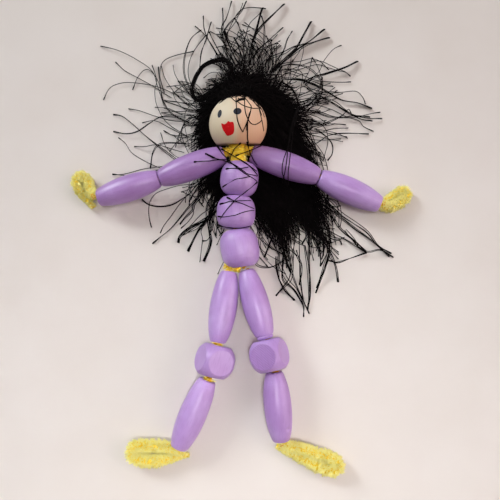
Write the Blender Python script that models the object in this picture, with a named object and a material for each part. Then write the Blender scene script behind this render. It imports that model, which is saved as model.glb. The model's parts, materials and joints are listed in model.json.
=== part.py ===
"""A doll of wooden beads strung on two pipe cleaners, lying on its back.

Metres. +Z points up out of the doll's front, +Y towards its head and +X to the viewer's right.
The origin is under the neck, on the surface that the doll lies on.

Each straight stretch of pipe cleaner is a piece of its own. At a bend one stretch ends in a ball
and the next in a cup, so a limb turns about the middle of the gap between two beads.
"""

import math

import bmesh
import bpy
from mathutils import Matrix, Vector

MM = 0.001
CLEARANCE = 0.3 * MM

# Beads
HEAD_RADIUS = 9.0 * MM
HEAD_BASE = 6.0 * MM  # from the middle of the head to its flat base
BARREL_RADIUS = 6.0 * MM
BARREL_LENGTH = 9.8 * MM
BARREL_END_RADIUS = 3.4 * MM
BARREL_SQUARENESS = 2.5  # exponent of the outline, where 2 is an ellipse
OVAL_RADIUS = 4.2 * MM
OVAL_END_RADIUS = 2.55 * MM
CUBE_SIDE = 10.0 * MM
CUBE_BALL_RADIUS = 6.25 * MM  # the ball that rounds the cube off, leaving a round flat on each face
RIM_CHAMFER = 0.35 * MM
BEAD_SIDES = 20
CUBE_SIDES, CUBE_STEPS = 32, 10

# Pipe cleaners: the body stem lies double in the head and torso, and single in the limbs
BODY_STEM_RADIUS = 1.9 * MM
LIMB_STEM_RADIUS = 1.15 * MM
BODY_BORE_RADIUS = BODY_STEM_RADIUS + CLEARANCE
LIMB_BORE_RADIUS = LIMB_STEM_RADIUS + CLEARANCE
STEM_SIDES = 10
FOOT_PILE_RADIUS = 1.95 * MM
HAND_PILE_RADIUS = 1.42 * MM
SWELL_STEPS = 9  # steps of the route over which the pile, squeezed in the bead, swells to its full size
LOOP_SIDES = 8

# Lie of the body: points in mm, then for each bead its heading in plan and its pitch, in degrees
HEAD_CENTRE = Vector((-0.6, 8.9, 11.2)) * MM
HEAD_LIE = (91.0, 15.0)
NECK_GAP = 1.1 * MM  # from the head's base to the bend below it
NECK_WRAP_RADII = Vector((3.4, 2.3, 2.7)) * MM
CHEST_TOP = Vector((0.35, -2.7, 9.0)) * MM
TORSO_GAP = 0.4 * MM  # from a bead's end to the middle of the gap
TORSO = (("chest", -96.5, -7.0), ("waist", -90.5, -6.0), ("hip", -82.0, -4.5))

# Limbs: where the stem leaves the body, then each bead's length, heading, pitch and the gaps
# from its two ends to the bends there
ARMS = {
    "left": (
        (-4.05, 0.2, 9.5),
        (("upper_arm", 21.5, -161.5, -5.0, 0.9, 0.3), ("forearm", 21.4, -165.1, -5.5, 0.3, 0.6)),
    ),
    "right": (
        (3.4, 0.6, 9.4),
        (("upper_arm", 21.6, -18.0, -5.0, 0.9, 0.3), ("forearm", 21.7, -22.9, -5.5, 0.3, 0.6)),
    ),
}
LEGS = {
    "left": (
        (-3.4, -36.0, 5.85),
        (
            ("thigh", 21.6, -98.6, 1.0, 0.5, 0.4),
            ("knee", 10.0, -104.0, 0.0, 0.4, 0.8),
            ("shin", 21.4, -112.4, -5.5, 0.8, 0.6),
        ),
    ),
    "right": (
        (2.45, -35.5, 5.85),
        (
            ("thigh", 21.6, -74.6, 1.0, 0.45, 0.3),
            ("knee", 10.0, -76.6, 0.0, 0.3, 0.5),
            ("shin", 20.5, -84.4, -6.0, 0.5, 0.6),
        ),
    ),
}
HIP_YOKE = ((-1.9, -35.1, 5.85), (0.85, -35.1, 5.85))
HIP_YOKE_RADIUS = 1.0 * MM
KNEE_TURN = {"left": 62.0, "right": 25.0}

# Hands and feet, the stem's end folded back beside itself: points in mm from the last bend to the fold,
# then the fold's middle, the heading at which the stem comes to it, the way it turns there (1 is
# anticlockwise from above) and the length in mm that lies back
HANDS = {
    "left": (((-48.9, -11.3, 3.8), (-49.2, -8.8, 2.6)), (-52.1, -5.9), 116.0, 1, 4.8),
    "right": (((47.9, -13.8, 4.1), (48.9, -12.0, 2.9)), (52.4, -11.0), 36.0, -1, 3.6),
}
HAND_FOLD_RADIUS = 1.85 * MM
FEET = {
    "left": (((-20.8, -91.7, 3.1), (-24.2, -91.5, 2.2)), (-30.1, -92.2), 172.0, 1, 4.8),
    "right": (((15.4, -91.1, 3.1), (19.4, -91.4, 2.2)), (28.0, -94.2), -8.0, -1, 5.5),
}
FOOT_FOLD_RADIUS = 2.4 * MM

# Hair: a dense mound of thread behind the head and shoulders, with loose locks all round it
HAIR_CENTRE = Vector((3.0, 12.0, 0.0)) * MM
HAIR_APRON = 1.7 * MM  # thickness under the neck and arms
HAIR_RIM = 0.6 * MM
HAIR_CROWN = Vector((1.0, 17.0, 0.0)) * MM
HAIR_RISE = 11.0 * MM
HAIR_SPREAD = 9.0 * MM
HAIR_SHOULDER_Y = (3.2 * MM, 9.0 * MM)  # the mound rises between these, clear of the arms
HAIR_REACH = (
    (-167, 18.5), (-124, 24), (-102, 15.5), (-79, 22), (-72, 36), (-64, 38), (-48, 32), (-21, 19.5),
    (22, 18), (60, 19), (97, 19.5), (118, 16.5), (140, 15.5), (153, 17),
)
LOCK_GAP = 1.0 * MM
LOCK_ROOT_RADIUS = 1.1 * MM
LOCK_TIP_RADIUS = 0.35 * MM
LOCK_SIDES = 6
LOCK_STEPS = 7
# name, direction of the root from the mound's middle in degrees, tip in mm, sideways bow in mm
LOCKS = (
    ("top_1", 105, (-6.4, 54.9), 2.0),
    ("top_2", 90, (9.6, 54.5), -1.5),
    ("top_3", 76, (15.1, 56.7), 2.0),
    ("top_right_1", 52, (29.3, 46.5), -2.0),
    ("top_right_2", 28, (39.9, 35.7), 2.5),
    ("right_1", 3, (47.0, 17.3), -2.0),
    ("right_2", -14, (43.5, 10.7), 2.0),
    ("under_arm", -44, (34.0, -17.5), 1.0),
    ("lower_right_1", -55, (48.6, -31.0), 2.5),
    ("lower_right_2", -65, (30.8, -39.3), -2.0),
    ("lower_right_3", -72, (21.1, -49.4), 1.5),
    ("lower_left_1", -118, (-12.2, -32.9), -2.0),
    ("lower_left_2", -127, (-28.0, -25.8), 2.0),
    ("left_1", -176, (-41.8, 10.0), -2.0),
    ("left_2", 165, (-45.9, 21.5), 2.0),
    ("left_3", 150, (-47.6, 41.0), -2.0),
)


def srgb(hex_colour):
    """Linear RGBA of a #RRGGBB colour."""
    channels = [int(hex_colour[i : i + 2], 16) / 255 for i in (1, 3, 5)]
    return [c / 12.92 if c <= 0.04045 else ((c + 0.055) / 1.055) ** 2.4 for c in channels] + [1.0]


def material(name, hex_colour, roughness):
    made = bpy.data.materials.new(name)
    made.use_nodes = True
    shader = made.node_tree.nodes["Principled BSDF"]
    shader.inputs["Base Color"].default_value = srgb(hex_colour)
    shader.inputs["Roughness"].default_value = roughness
    shader.inputs["Metallic"].default_value = 0.0
    return made


def direction(heading, pitch):
    """Unit vector at a heading from +X in plan and a pitch above the surface, in degrees."""
    level = math.cos(math.radians(pitch))
    return Vector((
        level * math.cos(math.radians(heading)),
        level * math.sin(math.radians(heading)),
        math.sin(math.radians(pitch)),
    ))


def frame_at(point, along):
    """Frame at a point with its Z axis along a direction and its Y axis as near up as can be."""
    z = along.normalized()
    x = Vector((0, 0, 1)).cross(z).normalized()
    y = z.cross(x)
    frame = Matrix((x, y, z)).transposed().to_4x4()
    frame.translation = point
    return frame


def arc(radius, centre_z, start, end, steps):
    """Points (r, z) on an arc about a point of the axis, by polar angle from +Z in degrees."""
    angles = [math.radians(start + (end - start) * i / steps) for i in range(steps + 1)]
    return [(radius * math.sin(a), centre_z + radius * math.cos(a)) for a in angles]


def oval_profile(length):
    """Outline of a turned oval bead, an ellipse cut off square at both ends, with its bore."""
    half = length / 2
    reach = half / math.sqrt(1 - (OVAL_END_RADIUS / OVAL_RADIUS) ** 2)
    steps = 8
    waist = half - RIM_CHAMFER
    outer = []
    for i in range(steps + 1):
        z = waist * math.cos(math.pi * i / steps)
        outer.append((OVAL_RADIUS * math.sqrt(1 - (z / reach) ** 2), z))
    return rimmed(outer, half, OVAL_END_RADIUS - RIM_CHAMFER, LIMB_BORE_RADIUS)


def barrel_profile():
    """Outline of a torso bead, a squarish round cut off at both ends, with its bore."""
    half = BARREL_LENGTH / 2
    n = BARREL_SQUARENESS
    reach = half / (1 - (BARREL_END_RADIUS / BARREL_RADIUS) ** n) ** (1 / n)
    steps = 10
    waist = half - RIM_CHAMFER / 2
    outer = []
    for i in range(steps + 1):
        z = waist * math.cos(math.pi * i / steps)
        outer.append((BARREL_RADIUS * (1 - abs(z / reach) ** n) ** (1 / n), z))
    return rimmed(outer, half, BARREL_END_RADIUS - RIM_CHAMFER, BODY_BORE_RADIUS)


def rimmed(outer, half, rim, bore):
    """An outer outline closed by flat ends and a bore."""
    return [(bore, half), (rim, half), *outer, (rim, -half), (bore, -half)]


def head_profile():
    """Outline of the head, a ball with a flat base and a bore through it."""
    crown = math.degrees(math.asin(BODY_BORE_RADIUS / HEAD_RADIUS))
    base = math.degrees(math.acos(-HEAD_BASE / HEAD_RADIUS))
    return [*arc(HEAD_RADIUS, 0, crown, base, 12), (BODY_BORE_RADIUS, -HEAD_BASE)]


def stem_profile(length, radius):
    """A stretch of stem from one bend to the next: a cup at the first and a ball at the second."""
    cup = radius + CLEARANCE
    rim = math.degrees(math.asin(radius / cup))
    return [*arc(cup, 0, 0, rim, 3), *arc(radius, length, 90, 0, 3)]


def turned(profile, closed, sides):
    """Solid turned about Z from an outline that is a closed loop or has both ends on the axis."""
    bm = bmesh.new()
    corners = [bm.verts.new((r, 0, z)) for r, z in profile]
    following = corners[1:] + corners[:1] if closed else corners[1:]
    edges = [bm.edges.new(pair) for pair in zip(corners, following)]
    bmesh.ops.spin(bm, geom=corners + edges, cent=(0, 0, 0), axis=(0, 0, 1), angle=math.tau,
                   steps=sides, use_merge=True)
    bmesh.ops.remove_doubles(bm, verts=bm.verts, dist=0.001 * MM)
    bmesh.ops.recalc_face_normals(bm, faces=bm.faces)
    return bm


def swept(points, radii, sides):
    """Round tube with flat ends along a path that nowhere runs upright."""
    bm = bmesh.new()
    rings = []
    for i, point in enumerate(points):
        tangent = points[min(i + 1, len(points) - 1)] - points[max(i - 1, 0)]
        across = Vector((0, 0, 1)).cross(tangent).normalized()
        above = tangent.cross(across).normalized()
        angles = [math.tau * k / sides for k in range(sides)]
        rings.append([bm.verts.new(point + radii[i] * (math.cos(a) * across + math.sin(a) * above))
                      for a in angles])
    for ring, following in zip(rings, rings[1:]):
        for k in range(sides):
            bm.faces.new((ring[k], ring[k - 1], following[k - 1], following[k]))
    bm.faces.new(rings[0])
    bm.faces.new(rings[-1])
    bmesh.ops.recalc_face_normals(bm, faces=bm.faces)
    return bm


def smooth_path(points, steps):
    """Catmull-Rom curve through points, with a number of steps to each span."""
    ends = [2 * points[0] - points[1], *points, 2 * points[-1] - points[-2]]
    path = []
    for a, b, c, d in zip(ends, ends[1:], ends[2:], ends[3:]):
        for i in range(steps):
            t = i / steps
            path.append(0.5 * (2 * b + (c - a) * t + (2 * a - 5 * b + 4 * c - d) * t**2
                               + (3 * b - a - 3 * c + d) * t**3))
    return path + [points[-1]]


def ball(radius, sides=12):
    bm = bmesh.new()
    bmesh.ops.create_uvsphere(bm, u_segments=sides, v_segments=sides // 2 + 1, radius=radius)
    return bm


def place(obj, frame, parent):
    """Puts an object at a frame in the world, under a parent joint."""
    obj.parent = parent
    obj.matrix_basis = WORLD[parent.name].inverted() @ frame if parent else frame
    WORLD[obj.name] = frame
    return obj


def joint(name, frame, parent):
    """An empty on a bend, which carries what moves there."""
    made = bpy.data.objects.new(name, None)
    made.empty_display_size = 2 * MM
    bpy.context.collection.objects.link(made)
    return place(made, frame, parent)


def piece(name, bm, finish, frame, parent):
    """A named solid with its own mesh in a frame."""
    mesh = bpy.data.meshes.new(name)
    bm.to_mesh(mesh)
    bm.free()
    mesh.shade_smooth()
    mesh.set_sharp_from_angle(angle=math.radians(35))
    mesh.materials.append(finish)
    made = bpy.data.objects.new(name, mesh)
    bpy.context.collection.objects.link(made)
    return place(made, frame, parent)


def cut(target, bm, frame):
    """Cuts a solid with another, which stays as a hidden cutter."""
    cutter = piece(f"{target.name}_cutter_{len(target.modifiers)}", bm, target.active_material, frame,
                   target.parent)
    cutter.hide_render = True
    cutter.display_type = "WIRE"
    modifier = target.modifiers.new(cutter.name, "BOOLEAN")
    modifier.operation = "DIFFERENCE"
    modifier.object = cutter
    modifier.solver = "EXACT"


def at(point):
    return Matrix.Translation(point)


def cube_bead():
    """A cube rounded off by a ball, which leaves a round flat on each face, bored along Z."""
    half = CUBE_SIDE / 2
    levels = [half * math.cos(math.pi * i / CUBE_STEPS) for i in range(CUBE_STEPS + 1)]
    bm = bmesh.new()
    rings = []
    walls = [(z, None) for z in levels]
    for level, radius in [(half, LIMB_BORE_RADIUS), *walls, (-half, LIMB_BORE_RADIUS)]:
        rings.append([])
        for k in range(CUBE_SIDES):
            a = math.tau * k / CUBE_SIDES
            wall = half / max(abs(math.cos(a)), abs(math.sin(a)))
            r = radius or min(wall, math.sqrt(CUBE_BALL_RADIUS**2 - level**2))
            rings[-1].append(bm.verts.new((r * math.cos(a), r * math.sin(a), level)))
    for ring, following in zip(rings, rings[1:] + rings[:1]):
        for k in range(CUBE_SIDES):
            bm.faces.new((ring[k - 1], ring[k], following[k], following[k - 1]))
    bmesh.ops.recalc_face_normals(bm, faces=bm.faces)
    return bm


def limb(side, start, beads, parent):
    """Beads and stretches of stem down a limb. Returns the joint and point at its end."""
    point = Vector(start) * MM
    for name, length, heading, pitch, lead, tail in beads:
        along = direction(heading, pitch)
        frame = frame_at(point, along)
        parent = joint(f"{side}_{name}", frame, parent)
        length, lead, tail = length * MM, lead * MM, tail * MM
        middle = frame @ at((0, 0, lead + length / 2))
        bead = turned(oval_profile(length), True, BEAD_SIDES)
        if name == "knee":
            bead = cube_bead()
            middle = middle @ Matrix.Rotation(math.radians(KNEE_TURN[side]), 4, "Z")
        piece(f"{side}_{name}_bead", bead, LILAC, middle, parent)
        reach = lead + length + tail
        stem = turned(stem_profile(reach, LIMB_STEM_RADIUS), False, STEM_SIDES)
        piece(f"{side}_{name}_stem", stem, CHENILLE, frame, parent)
        point = point + reach * along
    return parent, point


def folded_end(name, bend, shape, pile_radius, fold_radius, parent):
    """A hand or foot: the stem leaves the last bead, runs out, turns back and lies beside itself."""
    route, middle, heading, turn, back = shape
    route = [Vector(p) * MM for p in route]
    middle = Vector((*middle, 0)) * MM + Vector((0, 0, pile_radius))
    out = direction(heading, 0)
    start = bend + (LIMB_STEM_RADIUS + CLEARANCE) * (route[0] - bend).normalized()
    fold = [middle + fold_radius * direction(heading + turn * a, 0) for a in (-90, -45, 0, 45, 90)]
    fold = [fold[0] - fold_radius * out, *fold, fold[-1] - fold_radius * out, fold[-1] - back * MM * out]
    path = smooth_path([start, *route, *fold], 3)
    swell = [min(1.0, i / SWELL_STEPS) for i in range(len(path))]
    radii = [LIMB_STEM_RADIUS + s * (pile_radius - LIMB_STEM_RADIUS) for s in swell]
    path = [Vector((p.x, p.y, max(p.z, r))) for p, r in zip(path, radii)]
    hinge = joint(f"{name}_bend", at(bend), parent)
    return piece(name, swept(path, radii, LOOP_SIDES), CHENILLE, Matrix.Identity(4), hinge)


def hair_reach(angle):
    """Reach of the dense hair at an angle in degrees, eased between the named reaches."""
    rounds = [(a + turn, r) for turn in (-360, 0, 360) for a, r in HAIR_REACH]
    for (a, r), (b, s) in zip(rounds, rounds[1:]):
        if a <= angle <= b:
            ease = 0.5 - 0.5 * math.cos(math.pi * (angle - a) / (b - a))
            return (r + (s - r) * ease) * MM
    raise ValueError(angle)


def hair_height(x, y, share):
    """Height of the mound: an apron that rises to the crown behind the head and thins to its rim."""
    low, high = HAIR_SHOULDER_Y
    ramp = min(1.0, max(0.0, (y - low) / (high - low)))
    away = (x - HAIR_CROWN.x) ** 2 + (y - HAIR_CROWN.y) ** 2
    rise = HAIR_RISE * ramp**2 * (3 - 2 * ramp) * math.exp(-away / (2 * HAIR_SPREAD**2))
    return HAIR_RIM + (HAIR_APRON - HAIR_RIM + rise) * (1 - share**4)


def hair_mound():
    """Mound of hair as rings of points about its middle, over a flat underside."""
    sides, rings = 36, 8
    bm = bmesh.new()
    top = bm.verts.new((HAIR_CENTRE.x, HAIR_CENTRE.y, hair_height(HAIR_CENTRE.x, HAIR_CENTRE.y, 0)))
    under = bm.verts.new(HAIR_CENTRE)
    loops = []
    for ring in range(1, rings + 1):
        loops.append([])
        for k in range(sides):
            angle = 360 * k / sides - 180
            out = direction(angle, 0) * hair_reach(angle) * ring / rings + HAIR_CENTRE
            loops[-1].append(bm.verts.new((out.x, out.y, hair_height(out.x, out.y, ring / rings))))
    loops.append([bm.verts.new((v.co.x, v.co.y, 0)) for v in loops[-1]])
    for k in range(sides):
        bm.faces.new((top, loops[0][k - 1], loops[0][k]))
        bm.faces.new((under, loops[-1][k], loops[-1][k - 1]))
        for inner, outer in zip(loops, loops[1:]):
            bm.faces.new((inner[k - 1], outer[k - 1], outer[k], inner[k]))
    bmesh.ops.recalc_face_normals(bm, faces=bm.faces)
    return bm


def hair_lock(name, root_angle, tip, bow, parent):
    """A loose lock of thread that lies on the surface, thinning from the mound to its tip."""
    out = direction(root_angle, 0)
    root = HAIR_CENTRE + out * (hair_reach(root_angle) + LOCK_GAP)
    end = Vector((*tip, 0)) * MM
    across = Vector((0, 0, 1)).cross(end - root).normalized()
    middle = (root + end) / 2 + across * bow * MM
    path, radii = [], []
    for i in range(LOCK_STEPS + 1):
        t = i / LOCK_STEPS
        radius = LOCK_ROOT_RADIUS + (LOCK_TIP_RADIUS - LOCK_ROOT_RADIUS) * t
        flat = (1 - t) ** 2 * root + 2 * t * (1 - t) * middle + t**2 * end
        path.append(flat + Vector((0, 0, radius)))
        radii.append(radius)
    return piece(f"hair_lock_{name}", swept(path, radii, LOCK_SIDES), THREAD, Matrix.Identity(4), parent)


for old in list(bpy.data.objects):
    bpy.data.objects.remove(old)

WORLD = {}
LILAC = material("lilac_paint", "#B58BD0", 0.45)
WOOD = material("natural_wood", "#E8D2B4", 0.5)
CHENILLE = material("yellow_chenille", "#F0D22C", 0.95)
THREAD = material("black_thread", "#17121A", 0.6)

# Torso: three barrel beads on the doubled body stem
carrier = None
point = CHEST_TOP
for name, heading, pitch in TORSO:
    along = direction(heading, pitch)
    frame = frame_at(point, along)
    lead = 0 if name == "chest" else TORSO_GAP
    reach = lead + BARREL_LENGTH + TORSO_GAP
    carrier = joint(name, frame, carrier)
    piece(f"{name}_bead", turned(barrel_profile(), True, BEAD_SIDES), LILAC,
          frame @ at((0, 0, lead + BARREL_LENGTH / 2)), carrier)
    profile = stem_profile(reach, BODY_STEM_RADIUS)
    if name == "chest":
        profile = [(0, CLEARANCE), (BODY_STEM_RADIUS, CLEARANCE), *profile[4:]]
    if name == "hip":
        profile = [*profile[:4], (BODY_STEM_RADIUS, reach - TORSO_GAP), (0, reach - TORSO_GAP)]
    piece(f"{name}_stem", turned(profile, False, STEM_SIDES), CHENILLE, frame, carrier)
    point = point + reach * along
chest, hip = bpy.data.objects["chest"], carrier

# Neck: the arm stem is wound round the body stem, with bends for the head and both arms
head_up = direction(*HEAD_LIE)
neck_point = HEAD_CENTRE - (HEAD_BASE + NECK_GAP) * head_up
wrap_middle = (CHEST_TOP + neck_point) / 2 + Vector((0, -0.25, 0)) * MM
winding = ball(1.0, 16)
bmesh.ops.scale(winding, vec=NECK_WRAP_RADII, verts=winding.verts)
wrap = piece("neck_wrap", winding, CHENILLE, at(wrap_middle), chest)
cut(wrap, ball(BODY_STEM_RADIUS + CLEARANCE), at(neck_point))
chest_down = direction(*TORSO[0][1:])
chest_room = [(0, 0), (BARREL_RADIUS, 0), (BARREL_RADIUS, BARREL_LENGTH), (0, BARREL_LENGTH)]
cut(wrap, turned(chest_room, False, 8), frame_at(CHEST_TOP - CLEARANCE * chest_down, chest_down))
neck = joint("neck", frame_at(neck_point, head_up), chest)
piece("neck_bend", ball(BODY_STEM_RADIUS), CHENILLE, frame_at(neck_point, head_up), neck)

# Head: a ball bead that turns on the stem, whose fold stands out of the crown and holds the hair
head_frame = frame_at(neck_point, head_up)
head_joint = joint("head", head_frame, neck)
stem_end = NECK_GAP + HEAD_BASE + HEAD_RADIUS
stem = [*stem_profile(stem_end, BODY_STEM_RADIUS)[:4], (BODY_STEM_RADIUS, stem_end), (0, stem_end)]
piece("head_stem", turned(stem, False, STEM_SIDES), CHENILLE, head_frame, head_joint)
piece("head_bead", turned(head_profile(), True, 28), WOOD, frame_at(HEAD_CENTRE, head_up), head_joint)
FOLD_RADIUS, FOLD_STEM = 1.5 * MM, 0.8 * MM
fold_base = stem_end + CLEARANCE
fold = [Vector((-FOLD_RADIUS, 0, 0)), Vector((-FOLD_RADIUS, 0, FOLD_STEM))]
fold += [Vector((-FOLD_RADIUS * math.cos(a), 0, FOLD_STEM + 1.6 * FOLD_RADIUS * math.sin(a)))
         for a in [math.pi * i / 8 for i in range(1, 8)]]
fold += [Vector((FOLD_RADIUS, 0, FOLD_STEM)), Vector((FOLD_RADIUS, 0, 0))]
tipped = Matrix.Rotation(math.radians(90), 4, "X")
crown = swept([tipped @ p for p in fold], [FOLD_STEM] * len(fold), LOOP_SIDES)
piece("crown_fold", crown, CHENILLE, head_frame @ at((0, 0, fold_base)) @ tipped.inverted(), head_joint)

# Arms and hands
for side, (start, beads) in ARMS.items():
    shoulder = Vector(start) * MM
    frame = frame_at(shoulder, direction(*beads[0][2:4]))
    cut(wrap, ball(LIMB_STEM_RADIUS + CLEARANCE), at(shoulder))
    bend = joint(f"{side}_shoulder", frame, chest)
    piece(f"{side}_shoulder_bend", ball(LIMB_STEM_RADIUS), CHENILLE, frame, bend)
    last, wrist = limb(side, start, beads, bend)
    folded_end(f"{side}_hand", wrist, HANDS[side], HAND_PILE_RADIUS, HAND_FOLD_RADIUS, last)

# Legs and feet: the two halves of the body stem part in a yoke under the hip bead
yoke = swept([Vector(p) * MM for p in HIP_YOKE], [HIP_YOKE_RADIUS] * 2, STEM_SIDES)
piece("hip_yoke", yoke, CHENILLE, Matrix.Identity(4), hip)
for side, (start, beads) in LEGS.items():
    socket = Vector(start) * MM
    frame = frame_at(socket, direction(*beads[0][2:4]))
    bend = joint(f"{side}_hip", frame, hip)
    piece(f"{side}_hip_bend", ball(LIMB_STEM_RADIUS), CHENILLE, frame, bend)
    last, ankle = limb(side, start, beads, bend)
    folded_end(f"{side}_foot", ankle, FEET[side], FOOT_PILE_RADIUS, FOOT_FOLD_RADIUS, last)

# Hair: tied to the fold at the crown, pressed flat where the doll lies on it
mass = piece("hair_mass", hair_mound(), THREAD, Matrix.Identity(4), head_joint)
cut(mass, ball(HEAD_RADIUS + 1.2 * CLEARANCE, 32), frame_at(HEAD_CENTRE, head_up))
fold_room = [(0, 0), (2 * FOLD_RADIUS, 0), (2 * FOLD_RADIUS, fold_base + 4 * MM), (0, fold_base + 4 * MM)]
cut(mass, turned(fold_room, False, 16), head_frame)
for name, root_angle, tip, bow in LOCKS:
    hair_lock(name, root_angle, tip, bow, head_joint)
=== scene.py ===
"""Looks of a doll of painted wooden beads on two pipe cleaners, with a mop of black thread, lying on its back."""

import json
import math

import bpy
import numpy as np
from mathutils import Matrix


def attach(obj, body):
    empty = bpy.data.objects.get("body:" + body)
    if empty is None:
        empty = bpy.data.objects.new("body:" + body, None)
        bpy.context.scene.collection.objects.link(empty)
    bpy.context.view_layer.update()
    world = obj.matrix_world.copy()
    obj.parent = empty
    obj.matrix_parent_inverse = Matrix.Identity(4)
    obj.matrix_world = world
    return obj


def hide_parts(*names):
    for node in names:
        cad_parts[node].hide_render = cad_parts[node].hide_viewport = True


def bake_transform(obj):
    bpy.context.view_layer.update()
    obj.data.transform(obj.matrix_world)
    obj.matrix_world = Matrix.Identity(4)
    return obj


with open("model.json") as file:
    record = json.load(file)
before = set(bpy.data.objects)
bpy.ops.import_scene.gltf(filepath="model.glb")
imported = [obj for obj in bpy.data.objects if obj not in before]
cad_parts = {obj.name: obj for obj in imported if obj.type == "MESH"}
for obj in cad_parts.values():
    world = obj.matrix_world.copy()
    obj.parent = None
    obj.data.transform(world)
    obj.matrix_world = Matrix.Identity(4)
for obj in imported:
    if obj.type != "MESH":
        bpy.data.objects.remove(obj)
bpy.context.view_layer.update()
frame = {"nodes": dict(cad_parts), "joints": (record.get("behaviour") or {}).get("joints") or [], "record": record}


# Torso beads: three squat barrels of turned wood, dipped in lilac paint and threaded on the doubled body stem.
# The lathe leaves faint rings round them, and each end is flat about the bore.
MM = 0.001
BARREL_RADIUS, BODY_BORE = 6.0, 2.2
RIM, LIP = 0.35, 0.2
RING_SPACING, RING_DEPTH = 0.95, 0.011
BELLY_WAVE, OUT_OF_ROUND = 0.02, 0.004  # slow wave along a bead in mm, and share by which it is oval
OUTLINE_STEPS, ROUND_STEPS, BORE_STEPS, BEAD_SIDES = 110, 6, 8, 72  # points along an outside, an edge, a bore; round it
round_beads = []  # name, half length, shift, radius and lean of each, for what lies on and under them


def linear(colour):
    """Linear RGBA of an sRGB hex colour: each channel through the inverse of the sRGB curve."""
    channels = np.array([int(colour[i : i + 2], 16) for i in (1, 3, 5)]) / 255
    curved = np.where(channels <= 0.04045, channels / 12.92, ((channels + 0.055) / 1.055) ** 2.4)
    return (*curved, 1.0)


def add(tree, kind, sockets=None, links=None, **settings):
    """Adds a node with its settings, the values of its sockets and its links from other nodes' outputs."""
    made = tree.nodes.new(kind)
    for name, value in settings.items():
        setattr(made, name, value)
    for name, value in (sockets or {}).items():
        made.inputs[name].default_value = value
    for name, source in (links or {}).items():
        tree.links.new(source, made.inputs[name])
    return made


def finish_tree(name, **values):
    """A new material with constant values on its Principled shader, and that shader and its node tree."""
    made = bpy.data.materials.new(name)
    made.use_nodes = True
    shader = made.node_tree.nodes["Principled BSDF"]
    for socket, value in values.items():
        shader.inputs[socket.replace("_", " ")].default_value = value
    return made, shader, made.node_tree


def noise(tree, vector, scale, detail, roughness=0.5):
    """Value of a Noise Texture over a vector."""
    sockets = {"Scale": scale, "Detail": detail, "Roughness": roughness}
    return add(tree, "ShaderNodeTexNoise", sockets, {"Vector": vector}).outputs["Fac"]


def ramp(tree, value, *colours):
    """Colour of a Colour Ramp over a value, with stops from pairs of a position and a hex colour."""
    made = add(tree, "ShaderNodeValToRGB", links={"Fac": value})
    elements = made.color_ramp.elements
    while len(elements) < len(colours):
        elements.new(0.5)
    for element, (place, colour) in zip(elements, colours):
        element.position = place
        element.color = linear(colour)
    return made.outputs["Color"]


def bump(tree, height, strength, distance):
    """Normals of a surface that a height roughens, from a Bump node."""
    sockets = {"Strength": strength, "Distance": distance}
    return add(tree, "ShaderNodeBump", sockets, {"Height": height}).outputs["Normal"]


def connect(tree, shader, **sources):
    """Links outputs to a shader's sockets, which are named with low lines for spaces."""
    for socket, source in sources.items():
        tree.links.new(source, shader.inputs[socket.replace("_", " ")])


def piece(name, points, faces, finish, slot, **fields):
    """A mesh of points in mm and faces, turned outwards by the sign of its volume, with fields on its points."""
    corners = points[faces]
    fan = np.cross(corners[:, 1], corners[:, 2]) * corners[:, 0]
    if fan.sum() < 0:
        faces = faces[:, ::-1]
    mesh = bpy.data.meshes.new(name)
    mesh.from_pydata(points * MM, [], faces)
    for field, values in fields.items():
        kind = "FLOAT_VECTOR" if values.ndim == 2 else "FLOAT"
        store = mesh.attributes.new(field, kind, "POINT")
        store.data.foreach_set("vector" if values.ndim == 2 else "value", values.astype(np.float32).ravel())
    mesh.shade_smooth()
    mesh.materials.append(finish)
    made = bpy.data.objects.new(name, mesh)
    bpy.context.scene.collection.objects.link(made)
    return made


def grid_faces(rows, columns, closed_rows):
    """Triangles over a grid of rows by columns: columns close round, and rows too where they are a loop."""
    index = np.arange(rows * columns).reshape(rows, columns)
    here = index if closed_rows else index[:-1]
    after = np.roll(index, -1, axis=0) if closed_rows else index[1:]
    beside, beside_after = np.roll(here, -1, axis=1), np.roll(after, -1, axis=1)
    first = np.stack([here, beside, beside_after], axis=-1)
    second = np.stack([here, beside_after, after], axis=-1)
    return np.concatenate([first.reshape(-1, 3), second.reshape(-1, 3)])


def joint_of(child):
    """The joint that carries a body: its place in mm and its axis."""
    found = next(j for j in frame["joints"] if j["child"] == child)
    return np.array(found["pos_m"]) / MM, np.array(found["axis"]) / np.linalg.norm(found["axis"])


def bead_frame(name):
    """Middle of a bead and its directions across, up and along its bore, from the joint that it spins on."""
    middle, along = joint_of(name)
    across = np.cross((0, 0, 1), along)
    across /= np.linalg.norm(across)
    return middle, np.stack([across, np.cross(along, across), along])


def end_outline(half, end_radius, bore):
    """Outline of a bead's end as (along, radius): a quarter round, a flat and a quarter round into the bore."""
    turn = np.linspace(0, math.pi / 2, ROUND_STEPS)
    rim = np.stack([half - RIM + RIM * np.sin(turn), end_radius - RIM + RIM * np.cos(turn)], axis=1)
    lip = np.stack([half - LIP + LIP * np.cos(turn), bore + LIP - LIP * np.sin(turn)], axis=1)
    return np.concatenate([rim[1:], lip])


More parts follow.
